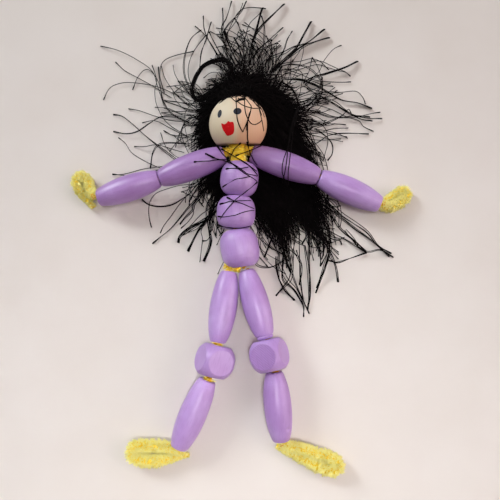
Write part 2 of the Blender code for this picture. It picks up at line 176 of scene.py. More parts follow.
def turned_bead(name, half, end_radius, bore, radius_at, seed, coat=0.0, shift=0.0, lean=(0, 0), groove=None,
                dent=None):
    """Lathe surface: an outline (along, radius) carried round the bore, with sine rings on the outside.

    The outside runs from one end to the other, the ends fold in, and the bore's wall closes the loop.
    A groove (place, depth, width) is a Gaussian dip along the outside, and a dent (place, angle, width, depth)
    one about a point of it.
    The shift slides the bead along its stem and the lean moves its two ends across it, as it hangs loosely.
    The coat darkens the whole bead: painted shade, for a bead that lies in the shade of the head and hair.
    """
    rng = np.random.default_rng(seed)
    along = (half - RIM) * np.cos(np.linspace(0, math.pi, OUTLINE_STEPS))
    phase = rng.uniform(0, 2 * math.pi, 3)
    wave = np.sin(2 * math.pi * along / RING_SPACING + phase[0]) * (0.6 + 0.4 * np.sin(along * 0.7 + phase[1]))
    radius = radius_at(along) + RING_DEPTH * wave + BELLY_WAVE * np.sin(along * 0.45 + phase[2])
    if groove:
        place, depth, width = groove
        radius -= depth * np.exp(-(((along - place) / width) ** 2))
    outside = np.stack([along, radius], axis=1)
    end = end_outline(half, end_radius, bore)
    wall = np.stack([np.linspace(LIP - half, half - LIP, BORE_STEPS), np.full(BORE_STEPS, bore)], axis=1)
    outline = np.concatenate([outside, end * (-1, 1), wall[1:-1], end[::-1]])
    turn = np.linspace(0, 2 * math.pi, BEAD_SIDES, endpoint=False)[None, :]
    span = outline[:, :1]
    reach = outline[:, 1:] * (1 + OUT_OF_ROUND * np.cos(2 * turn + phase[1]))
    if dent:
        place, angle, width, depth = dent
        round_it = np.angle(np.exp(1j * (turn - angle))) * reach
        away = ((span - place) / width) ** 2 + (round_it / width) ** 2
        reach = reach - depth * np.exp(-away) * (outline[:, 1:] > bore + 1)
    own = np.stack([reach * np.cos(turn), reach * np.sin(turn), np.broadcast_to(span, reach.shape)], axis=-1)
    own = own.reshape(-1, 3)
    round_beads.append((name, half, shift, radius_at, lean))
    middle, axes = bead_frame(name)
    hung = own + np.interp(own[:, 2:], (-half, half), lean) * (1, 0, 0) + (0, 0, shift)
    made = piece(name + "_painted", middle + hung @ axes, grid_faces(len(outline), BEAD_SIDES, True), lilac_paint,
                 "lilac_paint", lie=own, coat=np.full(len(own), coat))
    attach(made, name)
    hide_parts(name)


# Acrylic paint on close-grained wood, two thin coats: satin, a little streaked along the grain, darker where end
# grain drank it, with the fine ridges of the turning under it. Beads in the shade of the head and hair get painted
# shade.
lilac_paint, shader, tree = finish_tree("satin_lilac_paint_on_wood", Roughness=0.38, IOR=1.5, Coat_Weight=0.25,
                                        Coat_Roughness=0.28)
lie = add(tree, "ShaderNodeAttribute", attribute_name="lie")
thin = add(tree, "ShaderNodeMapping", {"Scale": (2.2, 2.2, 0.3)}, {"Vector": lie.outputs["Vector"]})
streaks = noise(tree, thin.outputs["Vector"], 1.0, 4.0, 0.6)
place = add(tree, "ShaderNodeTexCoord")
clouds = noise(tree, place.outputs["Object"], 160.0, 2.0)
coats = ramp(tree, clouds, (0.3, "#B089C8"), (0.55, "#B692CF"), (0.75, "#BD9CD6"))
worn = ramp(tree, streaks, (0.33, "#D9CFE2"), (0.5, "#FFFFFF"))
streaked = add(tree, "ShaderNodeMix", {0: 0.3}, {6: coats, 7: worn}, data_type="RGBA", blend_type="MULTIPLY")
# Painted shade and end grain: the coat field darkens beads that lie in the shade of the head and hair, and the pores of
# a knee bead's end grain.
coat = add(tree, "ShaderNodeAttribute", attribute_name="coat")
painted = add(tree, "ShaderNodeMix", {7: linear("#CBB4CC")}, {0: coat.outputs["Fac"], 6: streaked.outputs[2]},
              data_type="RGBA", blend_type="MULTIPLY")
satin = add(tree, "ShaderNodeMapRange", {"To Min": 0.32, "To Max": 0.46}, {"Value": streaks})
connect(tree, shader, Base_Color=painted.outputs[2], Roughness=satin.outputs["Result"],
        Normal=bump(tree, streaks, 0.2, 0.00004))

# The coat is painted shade, for the chest and waist that lie in the shade of the head.
TORSO = {  # half length, end radius, reach and squareness of its outline, coat, shift along the stem, lean of its ends
    "chest": (5.3, 3.2, 5.85, 2.5, 0.35, 0.1, (0.0, 0.0)),
    "waist": (5.15, 3.2, 5.85, 2.5, 0.2, 0.1, (-0.4, -0.4)),
    "hip": (5.8, 3.8, 6.35, 2.8, 0.0, 0.75, (-0.1, 0.1)),
}


def barrel_radius(along, reach, squareness):
    """Radius of a barrel bead: a superellipse, a little squarer than an ellipse."""
    return BARREL_RADIUS * (1 - np.abs(along / reach) ** squareness) ** (1 / squareness)


for number, (part, (half, end_radius, reach, squareness, coat, shift, lean)) in enumerate(TORSO.items()):
    turned_bead(part + "_bead", half, end_radius, BODY_BORE,
                lambda along, bow=(reach, squareness): barrel_radius(along, *bow), seed=11 + number, coat=coat,
                shift=shift, lean=lean)


# Long oval beads of the arms, thighs and shins: turned ovals of the same wood and paint, cut off square.
# Each slides on its own single stretch of stem.
OVAL_RADIUS, LIMB_BORE = 4.2, 1.45
# A coat among the marks is painted shade, heaviest on the upper arms in the shade of the hair.
OVALS = {  # length, end radius, shift along the stem, lean of the two ends, marks
    "left_upper_arm": (21.75, 2.55, 0.0, (0.0, 0.4), {"coat": 0.65}),
    "left_forearm": (20.35, 2.6, -0.88, (0.3, 0.9), {"coat": 0.42}),
    "right_upper_arm": (22.4, 2.55, -0.3, (-0.2, -0.3), {"coat": 0.6}),
    "right_forearm": (20.9, 2.55, -0.55, (-0.45, -0.6), {}),
    "left_thigh": (22.0, 2.3, 0.2, (0.1, 0.1), {}),
    "left_shin": (22.0, 2.55, -0.3, (-0.1, -0.4), {}),
    "right_thigh": (21.9, 2.3, 0.15, (-0.6, -0.5), {"groove": (9.9, 0.3, 0.22)}),
    "right_shin": (20.7, 2.45, -1.1, (-0.4, -0.3), {"coat": 0.3, "dent": (6.4, 0.9, 0.5, 0.35)}),
}
for number, (part, (length, end_radius, shift, lean, marks)) in enumerate(OVALS.items()):
    oval_reach = length / 2 / math.sqrt(1 - (end_radius / OVAL_RADIUS) ** 2)
    turned_bead(part + "_bead", length / 2, end_radius, LIMB_BORE,
                lambda along, reach=oval_reach: OVAL_RADIUS * np.sqrt(1 - (along / reach) ** 2), seed=31 + number,
                shift=shift, lean=lean, **marks)


# Knee beads: wooden cubes tumbled round, so that each face is left as a round flat, in the same paint.
# They are bored through two flats.
CUBE_HALF, CUBE_BALL, CUBE_SOFTNESS, CUBE_SHORT = 4.9, 6.3, 200, 0.96
CUBE_ROWS, CUBE_COLUMNS = 150, 200
MOUTH_DEPTH, MOUTH_FLARE = 0.05, 0.12  # the bore's mouth: how far in from the flat, how much wider than the bore
KNEES = {"left": (62.0, None, (0.55, 0.0)), "right": (25.0, 1, (-0.55, -0.4))}  # turn, end grain, lean and shift


def cube_bead(name, turn_degrees, grain, hang):
    """Ball cut by six planes: in each direction, the soft minimum (a p-norm) of the ball and the planes.

    The flat on the grain's axis is end grain, which drinks the paint in slanting lines of pores (sines).
    """
    start = math.asin((LIMB_BORE + LIP) / CUBE_HALF * 0.98)
    polar = np.linspace(start, math.pi - start, CUBE_ROWS)[:, None]
    turn = np.linspace(0, 2 * math.pi, CUBE_COLUMNS, endpoint=False)[None, :]
    way = np.stack([np.sin(polar) * np.cos(turn), np.sin(polar) * np.sin(turn), np.cos(polar) + 0 * turn], axis=-1)
    size = (CUBE_BALL ** -CUBE_SOFTNESS + ((np.abs(way) / CUBE_HALF) ** CUBE_SOFTNESS).sum(-1)) ** (-1 / CUBE_SOFTNESS)
    outside = way * size[..., None]
    depth = np.array([MOUTH_DEPTH - CUBE_HALF, *np.linspace(LIP - CUBE_HALF, CUBE_HALF - LIP, BORE_STEPS),
                      CUBE_HALF - MOUTH_DEPTH])[:, None]
    width = np.array([LIMB_BORE + MOUTH_FLARE, *np.full(BORE_STEPS, LIMB_BORE), LIMB_BORE + MOUTH_FLARE])[:, None]
    wall = np.stack([width * np.cos(turn), width * np.sin(turn), depth + 0 * turn], axis=-1)
    own = np.concatenate([outside, wall]) * (1, 1, CUBE_SHORT)
    faces = grid_faces(len(own), CUBE_COLUMNS, True)
    own = own.reshape(-1, 3)
    middle, axes = bead_frame(name)
    middle = middle + np.array((hang[0], 0, hang[1])) @ axes
    a = math.radians(turn_degrees)
    turned = np.array([[math.cos(a), math.sin(a), 0], [-math.sin(a), math.cos(a), 0], [0, 0, 1]]) @ axes
    flat = np.clip((own[:, grain] - CUBE_HALF + 0.12) / 0.1, 0, 1) if grain is not None else np.zeros(len(own))
    across, down = 0.78 * own[:, 0] - 0.62 * own[:, 2], 0.62 * own[:, 0] + 0.78 * own[:, 2]
    broken = 0.6 + 0.4 * np.sin(1.7 * down + 2.9 * across)
    pores = 0.5 + 0.24 * np.sin(11 * across + 0.5 * np.sin(1.3 * down)) * broken
    made = piece(name + "_painted", middle + own @ turned, faces, lilac_paint, "lilac_paint", lie=own,
                 coat=flat * pores)
    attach(made, name)
    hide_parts(name)


for side, (turn, grain, hang) in KNEES.items():
    cube_bead(side + "_knee_bead", turn, grain, hang)


# Head: an 18 mm ball of plain wood with a flat base, bored from crown to neck for the doubled stem.
# It is sanded and left without paint, pale cream on one side and peach on the other.
HEAD_RADIUS, HEAD_BASE = 9.0, 6.0
HEAD_STEPS, HEAD_SIDES = 90, 128


def head_ball():
    """Sphere cut flat below: an arc from the bore at the crown to the rim of the base, closed by the bore."""
    first, last = math.asin((BODY_BORE + LIP) / HEAD_RADIUS), math.acos(-HEAD_BASE / HEAD_RADIUS) - 0.03
    polar = np.linspace(first, last, HEAD_STEPS)
    ball = np.stack([HEAD_RADIUS * np.cos(polar), HEAD_RADIUS * np.sin(polar)], axis=1)
    rim = math.sqrt(HEAD_RADIUS**2 - HEAD_BASE**2)
    base = np.array([(-HEAD_BASE + 0.08, rim - 0.02), (-HEAD_BASE, rim - 0.2), (-HEAD_BASE, 4.5),
                     (-HEAD_BASE, BODY_BORE + LIP), (-HEAD_BASE + LIP, BODY_BORE)])
    wall = np.stack([np.linspace(-5, 8, BORE_STEPS), np.full(BORE_STEPS, BODY_BORE)], axis=1)
    outline = np.concatenate([ball, base, wall])
    turn = np.linspace(0, 2 * math.pi, HEAD_SIDES, endpoint=False)[None, :]
    reach = outline[:, 1:]
    own = np.stack([reach * np.cos(turn), reach * np.sin(turn), outline[:, :1] + 0 * turn], axis=-1)
    own = own.reshape(-1, 3)
    middle, axes = bead_frame("head_bead")
    made = piece("head_ball", middle + own @ axes, grid_faces(len(outline), HEAD_SIDES, True), plain_wood,
                 "natural_wood", lie=own)
    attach(made, "head_bead")
    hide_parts("head_bead")


def times_plus(tree, value, factor, other):
    """Output of a Math node: a value times a factor plus another value."""
    return add(tree, "ShaderNodeMath", {1: factor}, {0: value, 2: other}, operation="MULTIPLY_ADD").outputs["Value"]


# Sanded bare wood: pale cream on one side of a boundary that follows the grain and peach on the other,
# with fine growth lines that run from crown to chin and show as arcs on the ball.
plain_wood, shader, tree = finish_tree("bare_sanded_wood", Roughness=0.5, IOR=1.5)
lie = add(tree, "ShaderNodeAttribute", attribute_name="lie")
grown = add(tree, "ShaderNodeMapping", {"Scale": (1.0, 1.0, 0.12)}, {"Vector": lie.outputs["Vector"]})
drift = noise(tree, grown.outputs["Vector"], 0.5, 3.0)
lines = add(tree, "ShaderNodeTexWave", {"Scale": 0.42, "Distortion": 2.6, "Detail": 2.0, "Detail Scale": 0.7},
            {"Vector": grown.outputs["Vector"]}, bands_direction="X")
apart = add(tree, "ShaderNodeSeparateXYZ", links={"Vector": lie.outputs["Vector"]})
bowed = add(tree, "ShaderNodeMath", {1: 2.0}, {0: apart.outputs["Z"]}, operation="POWER")
edge = times_plus(tree, bowed.outputs["Value"], -0.035, apart.outputs["X"])
wander = times_plus(tree, drift, 0.9, edge)
peach_share = add(tree, "ShaderNodeMapRange", {"From Min": 1.8, "From Max": -1.4}, {"Value": wander},
            interpolation_type="SMOOTHSTEP")
# Painted light and shade: both woods are painted lighter towards the crown, where the light falls, and darker towards
# the chin.
height = add(tree, "ShaderNodeMapRange", {"From Min": -6.0, "From Max": 7.0}, {"Value": apart.outputs["Z"]})
rings_and_crown_light = times_plus(tree, lines.outputs["Fac"], 0.06, height.outputs["Result"])
cream_side = ramp(tree, rings_and_crown_light, (0.0, "#C7B292"), (0.4, "#D5C4A7"), (1.0, "#D9CAAF"))
warm = ramp(tree, rings_and_crown_light, (0.0, "#D1A07D"), (0.45, "#DBAE8C"), (0.85, "#E6C3A6"))
wood = add(tree, "ShaderNodeMix", links={0: peach_share.outputs["Result"], 6: cream_side, 7: warm}, data_type="RGBA")
connect(tree, shader, Base_Color=wood.outputs[2], Normal=bump(tree, lines.outputs["Fac"], 0.02, 0.00003))
head_ball()


# Face: two eyes and a mouth dabbed on the wood with a small brush, each a thin skin of paint.
# The places are in mm on the ball, seen from the front: to the viewer's right and up towards the crown.
PAINT_SKIN, DAB_SIDES = 0.035, 72


def catmull_rom(knots, span, f):
    """Cubic between two knots, a share f of the way, whose slope at each is that of the chord past it."""
    a, b, c, d = (knots[..., span + i, :] for i in range(4))
    return 0.5 * (2 * b + (c - a) * f + (2 * a - 5 * b + 4 * c - d) * f**2 + (3 * b - a - 3 * c + d) * f**3)


def lid_faces(ring):
    """Triangles that close a ring of points, as a fan from the first."""
    return np.stack([np.full(len(ring) - 2, ring[0]), ring[1:-1], ring[2:]], axis=1)


def dab(name, outline, finish):
    """A skin of paint: rings shrunk from a closed outline towards its middle, laid on the ball and domed."""
    knots = np.asarray(outline, float)
    t = np.linspace(0, len(knots), DAB_SIDES, endpoint=False)
    span = t.astype(int)
    edge = catmull_rom(np.concatenate([knots[-1:], knots, knots[:2]]), span, (t - span)[:, None])
    centre = edge.mean(0)
    share = np.array([1.0, 1.0, 0.97, 0.9, 0.75, 0.55, 0.3, 0.08])[:, None, None]
    skin = np.array([-0.1, 0.4, 0.85, 1, 1, 1, 1, 1])[:, None] * PAINT_SKIN
    flat = centre + (edge - centre) * share
    shell = HEAD_RADIUS + skin
    front = np.sqrt(shell**2 - (flat**2).sum(-1))
    own = np.stack([-flat[..., 0], front, flat[..., 1]], axis=-1).reshape(-1, 3)
    faces = grid_faces(len(share), DAB_SIDES, False)
    lid = lid_faces((len(share) - 1) * DAB_SIDES + np.arange(DAB_SIDES))
    middle, axes = bead_frame("head_bead")
    made = piece(name, middle + own @ axes, np.concatenate([faces, lid]), finish, "natural_wood", lie=own)
    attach(made, "head_bead")


def ellipse(centre, half_width, half_height, lean):
    """Outline of an ellipse, leaned over by an angle in degrees."""
    t = np.linspace(0, 2 * math.pi, 12, endpoint=False)
    turn = np.exp(1j * math.radians(lean))
    z = (half_width * np.cos(t) + 1j * half_height * np.sin(t)) * turn
    return np.stack([centre[0] + z.real, centre[1] + z.imag], axis=1)


# Craft paint, dabbed on: near black with a blue cast for the eyes, red for the mouth, both satin
# and a little thinner where the brush left the wood.
def dab_paint(name, deep, light):
    """A paint that goes from a deep to a light colour with the streaks of the brush."""
    made, shader, tree = finish_tree(name, Roughness=0.42, IOR=1.47, Specular_IOR_Level=0.3)
    lie = add(tree, "ShaderNodeAttribute", attribute_name="lie")
    brush = noise(tree, lie.outputs["Vector"], 1.4, 3.0)
    spread = ramp(tree, brush, (0.35, deep), (0.7, light))
    connect(tree, shader, Base_Color=spread, Normal=bump(tree, brush, 0.2, 0.00004))
    return made


eye_paint = dab_paint("blue_black_craft_paint", "#0C111C", "#1A2234")
lip_paint = dab_paint("red_craft_paint", "#BC0008", "#CE0610")
dab("left_eye", ellipse((-5.35, 2.75), 0.62, 1.22, -12), eye_paint)
dab("right_eye", ellipse((0.02, 3.2), 1.22, 1.0, 8), eye_paint)
dab("mouth", ((-4.87, -0.22), (-3.95, -0.5), (-3.2, -0.1), (-2.8, 0.34), (-2.2, 0.05), (-1.35, 0.02), (-1.05, -0.9),
              (-1.06, -2.55), (-1.45, -3.4), (-2.4, -3.8), (-3.2, -3.85), (-3.75, -3.2), (-4.55, -1.8)), lip_paint)


# Pipe cleaners inside the beads: two wires twisted on a short yellow pile, doubled in the head and torso.
# The pile shows only in the gaps, and one stretch of stem goes with each bead it carries.
PILE_PITCH, LOWEST_FIBRE = 2.3, 0.06  # length of one turn of the twist, and height of the lowest fibres, mm
FIBRE_SIDES, CORE_SIDES = 3, 14


def smooth_run(knots, steps):
    """Catmull-Rom curve through the knots, run on straight past both ends, at even steps."""
    knots = np.asarray(knots, float)
    before = 2 * knots[..., :1, :] - knots[..., 1:2, :]
    after = 2 * knots[..., -1:, :] - knots[..., -2:-1, :]
    all_knots = np.concatenate([before, knots, after], axis=-2)
    t = np.linspace(0, knots.shape[-2] - 1, steps)
    span = np.minimum(t.astype(int), knots.shape[-2] - 2)
    return catmull_rom(all_knots, span, (t - span)[:, None])


def sides_of(runs):
    """Directions beside and above each point of many runs, square to the run there."""
    slope = np.gradient(runs, axis=-2)
    slope /= np.linalg.norm(slope, axis=-1, keepdims=True) + 1e-9
    beside = np.cross(slope, (0.05, 0.08, 1.0))
    beside /= np.linalg.norm(beside, axis=-1, keepdims=True) + 1e-9
    return slope, beside, np.cross(beside, slope)


def tubes(runs, radii, sides):
    """Thin tubes along many runs at once: a ring of a few points round each point of a run, and flat ends."""
    _, beside, above = sides_of(runs)
    turn = (2 * math.pi * np.arange(sides) / sides)[:, None]
    rings = runs[:, :, None] + radii[:, :, None, None] * (
        np.cos(turn) * beside[:, :, None] + np.sin(turn) * above[:, :, None])
    count, steps = runs.shape[:2]
    index = np.arange(count * steps * sides).reshape(count, steps, sides)
    here, after = index[:, :-1], index[:, 1:]
    beside_here, beside_after = np.roll(here, -1, axis=2), np.roll(after, -1, axis=2)
    walls = [np.stack(three, axis=-1).reshape(-1, 3) for three in
             ((here, beside_here, beside_after), (here, beside_after, after))]
    fan = np.arange(1, sides - 1)
    ends = [np.stack([index[:, 0, :1] + 0 * fan, index[:, 0, 1:][:, fan], index[:, 0, 1:][:, fan - 1]], -1),
            np.stack([index[:, -1, :1] + 0 * fan, index[:, -1, 1:][:, fan - 1], index[:, -1, 1:][:, fan]], -1)]
    return rings.reshape(-1, 3), np.concatenate(walls + [e.reshape(-1, 3) for e in ends])


def pile(path, reach, count, rng, spread=0.5, fibre=0.1, tuft=5):
    """Fibres of a pipe cleaner in small tufts, each a bent three-sided spike, on two helices about the path.

    A tuft leaves the core at a place along the path, at the angle of the twist there give or take some, and
    leans at random. It reaches furthest on the helix and less beside it, so that the twist stands out in
    ridges. Returns the fibres' runs and radii, and how far out each point lies as a share of the reach.
    """
    step = np.linalg.norm(np.diff(path, axis=0), axis=1)
    length = np.concatenate([[0], np.cumsum(step)])
    tufts = max(count // tuft, 2)
    count = tufts * tuft
    tuft_at = (np.arange(tufts) + rng.uniform(0, 1, tufts)) / tufts * length[-1]
    aside = rng.normal(0, spread, tufts)
    tuft_angle = 2 * math.pi * tuft_at / PILE_PITCH + math.pi * (np.arange(tufts) % 2) + aside
    tuft_grown = rng.uniform(0.8, 1.12, tufts) - 0.22 * np.clip(np.abs(aside) / 1.2, 0, 1)
    at = np.repeat(tuft_at, tuft) + rng.normal(0, 0.12, count)
    angle = np.repeat(tuft_angle, tuft) + rng.normal(0, 0.13, count)

    def look_up(values):
        """Values along the path at each fibre's root."""
        return np.stack([np.interp(at, length, values[:, i]) for i in range(3)], axis=1)

    slope, beside, above = (look_up(v) for v in sides_of(path))
    middle, out = look_up(path), np.interp(at, length, reach)[:, None]
    way = np.cos(angle)[:, None] * beside + np.sin(angle)[:, None] * above
    lean = slope * np.repeat(rng.normal(0, 0.3, tufts), tuft)[:, None] + rng.normal(0, 0.1, (count, 3))
    share = (np.repeat(tuft_grown, tuft) * rng.uniform(0.88, 1.04, count))[:, None]
    grown = out * share
    runs = np.stack([middle + 0.2 * grown * way, middle + 0.65 * grown * way + 0.35 * grown * lean,
                     middle + grown * (way + 0.9 * lean) / np.linalg.norm(way + 0.9 * lean, axis=1, keepdims=True)],
                    axis=1)
    runs[..., 2] = np.maximum(runs[..., 2], LOWEST_FIBRE)
    radii = fibre * rng.uniform(0.75, 1.2, (count, 1)) * np.array([1.0, 1.0, 0.5])
    return runs, radii, share * np.array([0.2, 0.65, 1.0])


def chenille(name, path, reach, body, replaced, per_mm, seed, painted_shade=0.0, core=0.5, **shape):
    """A stretch of pipe cleaner: a lumpy core tube along the path, with the pile's fibres on it.

    The pile's reach is one, or one for each point of the path, and the core's radius is a share of it. Painted
    shade pushes the pile's colour deeper into the gold where it lies in shade between beads or under the head.
    """
    rng = np.random.default_rng(seed)
    reach = np.broadcast_to(reach, len(path))
    travelled = np.linalg.norm(np.diff(path, axis=0), axis=1).sum()
    runs, radii, depth = pile(path, reach, int(per_mm * travelled), rng, **shape)
    points, faces = tubes(runs, radii, FIBRE_SIDES)
    lumps = core + 0.06 * np.sin(2 * math.pi * np.linspace(0, travelled, len(path)) / PILE_PITCH * 2)
    wire, wire_faces = tubes(path[None], (reach * lumps)[None], CORE_SIDES)
    deep = np.concatenate([np.repeat(depth, FIBRE_SIDES, axis=1).ravel(), np.full(len(wire), 0.6 * core)]) - painted_shade
    made = piece(name, np.concatenate([points, wire]), np.concatenate([faces, wire_faces + len(points)]),
                 yellow_pile, "yellow_chenille", depth=deep)
    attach(made, body)
    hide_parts(*replaced)


# Dyed lemon polyester pile with painted light and shade: paler at the fibres' ends, a painted highlight, and a painted
# deep gold shade between them, mottled in tufts.
# The fibres are drawn at about 0.2 mm, coarser than real ones, so that they show.
yellow_pile, shader, tree = finish_tree("yellow_chenille_pile", Roughness=0.8, Specular_IOR_Level=0.4,
                                        Sheen_Weight=0.7, Sheen_Roughness=0.4, Sheen_Tint=linear("#FFE66A"))
deep = add(tree, "ShaderNodeAttribute", attribute_name="depth")
place = add(tree, "ShaderNodeTexCoord")
tufts = noise(tree, place.outputs["Object"], 900.0, 2.0)
mixed = times_plus(tree, tufts, 0.4, deep.outputs["Fac"])
pile_shade_and_light = ramp(tree, mixed, (0.22, "#EDB222"), (0.48, "#FFDF38"), (0.76, "#FFF06A"), (0.92, "#FFF8A0"))
connect(tree, shader, Base_Color=pile_shade_and_light, Normal=bump(tree, tufts, 0.3, 0.0001))

bends = {name: joint_of(name)[0] for name in frame["record"]["behaviour"]["bodies"] if name != "chest"}
crown = np.array((-0.8, 19.0, 13.6))
hip_end = np.array((0.58, -33.77, 5.82))
chest_top = np.array((0.35, -2.7, 9.0))
BODY_STEMS = {
    "chest_stem": ("chest", chest_top, bends["waist"]),
    "waist_stem": ("waist", bends["waist"], bends["hip"]),
    "hip_stem": ("hip", bends["hip"], hip_end),
}
BODY_PILE, LIMB_PILE = 1.5, 1.3  # reach of the pile pressed into a bore, mm
LIMB_STEPS = 60
# The pile in the gaps between the torso beads gets painted shade.
for number, (name, (body, start, end)) in enumerate(BODY_STEMS.items()):
    chenille(name + "_pile", smooth_run([start, end], 24), BODY_PILE, body, [name], per_mm=30, seed=51 + number,
             painted_shade=0.4)
LIMB_STEMS = [(side, *stretch) for side in ("left", "right") for stretch in
              (("upper_arm", "forearm"), ("forearm", "hand"), ("thigh", "knee"), ("knee", "shin"), ("shin", "foot"))]
for number, (side, part, after) in enumerate(LIMB_STEMS):
    start, end = bends[f"{side}_{part}"], bends[f"{side}_{after}"]
    leg = part in ("thigh", "knee", "shin")
    # Past the beads' ends the pile bulges out, most in the open gaps of the left leg and not in the tight right ones.
    # Painted shade darkens the pile of the arms, and most that of the tight right gaps, which lie in shade.
    bulge, painted_shade = (LIMB_PILE, 0.5) if not leg else (2.4, 0.1) if side == "left" else (1.0, 0.9)
    swell = np.interp(np.linspace(0, 1, LIMB_STEPS), (0, 0.03, 0.08, 0.92, 0.97, 1),
                      (bulge, bulge, LIMB_PILE, LIMB_PILE, bulge, bulge))
    chenille(f"{side}_{part}_stem_pile", smooth_run([start, end], LIMB_STEPS), swell, f"{side}_{part}",
             [f"{side}_{part}_stem"], per_mm=50, seed=61 + number, painted_shade=painted_shade)


# Neck, hips and shoulders: the arm stem crosses the body stem at the neck and is pressed round it,
# and the two halves of the body stem part below the last torso bead. Here the pile stands out fully.
LOOSE = 1.6  # spread of the pile's angles where no bead presses it
neck = bends["neck"]
# The collar gets painted shade, for the shade of the head over it.
chenille("neck_collar",
         smooth_run([neck + (-0.4, 1.5, 0.5), neck + (-0.3, -1.6, 0.3), chest_top + (-0.8, 0.3, 0.2)], 20),
         np.linspace(3.1, 3.0, 20), "chest", ["neck_wrap"], per_mm=700, seed=81, painted_shade=0.3, core=0.84, spread=LOOSE,
         fibre=0.08)
chenille("neck_stem_pile", smooth_run([neck + (0, -0.6, 0), neck + (0, 1.4, 0.4)], 12), 2.2, "neck", ["neck_bend"],
         per_mm=90, seed=82, spread=LOOSE)
chenille("head_stem_pile", smooth_run([neck + (0, 0.6, 0.1), (-0.6, 8.9, 11.2), (-0.74, 16.6, 13.2)], 24), 2.0, "head",
         ["head_stem", "crown_fold"], per_mm=30, seed=83)
for number, (side, across) in enumerate((("left", -1), ("right", 1))):
    shoulder, hip = bends[side + "_shoulder"], bends[side + "_hip_joint"]
    # Painted shade darkens the shoulder and hip piles, which lie between the beads.
    chenille(side + "_shoulder_pile",
             smooth_run([shoulder - (across * 2.0, -0.6, -0.9), shoulder + (across * 0.7, 0.3, 0.3)], 12), 1.9,
             side + "_shoulder", [side + "_shoulder_bend"], per_mm=150, seed=84 + number, painted_shade=0.3, core=0.7,
             spread=LOOSE)
    chenille(side + "_hip_pile",
             smooth_run([hip + (-across * 1.8, 1.4, -2.6), hip + (-across * 1.0, 0.5, -2.4)], 12), 0.9,
             side + "_hip_joint", [side + "_hip_bend"], per_mm=110, seed=86 + number, painted_shade=0.5, spread=LOOSE)
# The hip yoke gets a little painted shade, between the hip bead and the thighs.
chenille("hip_yoke_pile", smooth_run([(-4.8, -34.7, 6.4), (-2.2, -35.3, 6.8), (0.0, -35.8, 5.8)], 16), 1.35, "hip",
         ["hip_yoke"], per_mm=170, seed=88, painted_shade=0.25, spread=LOOSE)


# Hands and feet: the last of each stem, bent back on itself beside the bead into a flat leaf of two strands.
# Out of the bead the pile opens to its full width.
END_STEPS = 90
FOLDED_ENDS = {  # reach of the pile where it is full and at the cut end, and the route out from the bead
    "left_hand": (2.1, 1.2, ((-47.6, -11.0, 3.6), (-49.0, -7.6, 2.5), (-50.8, -5.2, 2.1), (-52.7, -5.5, 2.0),
                             (-52.9, -7.9, 2.0), (-51.4, -10.4, 2.0), (-49.2, -12.9, 1.9), (-47.4, -15.2, 1.4))),
    "right_hand": (2.1, 1.2, ((46.5, -15.6, 4.0), (49.8, -14.7, 2.9), (52.4, -13.0, 2.3), (53.8, -11.0, 2.0),
                              (52.4, -9.8, 2.0), (49.7, -11.2, 2.0), (46.8, -12.9, 2.0))),
    "left_foot": (2.4, 0.8, ((-17.9, -90.2, 3.2), (-21.0, -89.6, 2.9), (-24.7, -89.3, 2.6), (-28.0, -89.1, 2.5),
                             (-30.7, -89.1, 2.6), (-32.4, -90.1, 2.6), (-32.2, -91.9, 2.6), (-30.0, -93.1, 2.7),
                             (-26.6, -93.4, 2.9), (-23.1, -93.0, 2.7), (-20.1, -92.5, 2.2), (-17.5, -92.1, 1.5),
                             (-15.4, -92.1, 1.0))),
    "right_foot": (2.35, 1.0, ((14.3, -88.8, 3.3), (18.2, -89.9, 2.8), (22.7, -91.2, 2.7), (26.9, -92.4, 2.7),
                               (29.6, -94.0, 2.6), (29.0, -95.9, 2.6), (26.3, -95.9, 2.6), (22.7, -94.5, 2.6),
                               (18.5, -92.6, 2.4), (14.3, -90.7, 1.9), (11.2, -89.3, 1.3))),
}
for number, (part, (full, last, points)) in enumerate(FOLDED_ENDS.items()):
    carrier = part.replace("hand", "forearm").replace("foot", "shin") + "_bead"
    half, shift = next(bead[1:3] for bead in round_beads if bead[0] == carrier)
    middle, axes = bead_frame(carrier)
    out = middle + (half + shift - 0.5) * axes[2]
    reach = np.interp(np.linspace(0, 1, END_STEPS), (0, 0.05, 0.14, 0.72, 1), (1.5, 2.0, full, full, last))
    chenille(part + "_pile", smooth_run([out, *points], END_STEPS), reach, part, [part], per_mm=230, seed=91 + number,
             spread=0.6, fibre=0.13)


# Hair: a hank of black sewing thread caught in the fold of the stem at the crown and cut ragged.
# It lies matted behind the head and shoulders and flies out in loose ends all round.
HAIR_CENTRE = np.array((3.0, 12.0))
HAIR_REACH = np.array((
    (-167, 20), (-140, 22), (-127, 26.5), (-113, 33), (-105, 34), (-95, 31), (-84, 34), (-80, 37), (-77, 42), (-74, 45),
    (-71, 41), (-67, 37), (-64, 37.5), (-61, 43), (-58, 46), (-54, 44), (-50, 40), (-46, 33), (-38, 28), (-26, 27),
    (-13, 20.5), (11, 19.4), (34, 20), (52, 20), (77, 20.5), (97, 23), (110, 23.5), (118, 21.5), (133, 19.5),
    (149, 20.5), (165, 19.5), (193, 20)))  # angle in degrees about the centre, and how far the mat reaches there
THREAD, THREAD_SIDES, LOCK_STEPS = 0.12, 3, 22  # radius of a thread in mm, points round it, and along one of a lock
UNDER_BEAD, ON_FLOOR = 0.3, 0.15  # gap below a bead, and height of the lowest threads, mm


def dense_reach(degrees):
    """How far the matted hair reaches from its middle at an angle, a straight line between named reaches."""
    first = HAIR_REACH[0, 0]
    return np.interp((degrees - first) % 360 + first, HAIR_REACH[:, 0], HAIR_REACH[:, 1])


def outward(degrees, length):
    """Places at an angle and a length from the middle of the hair."""
    angle = np.radians(degrees)
    return HAIR_CENTRE + length[..., None] * np.stack([np.cos(angle), np.sin(angle)], axis=-1)


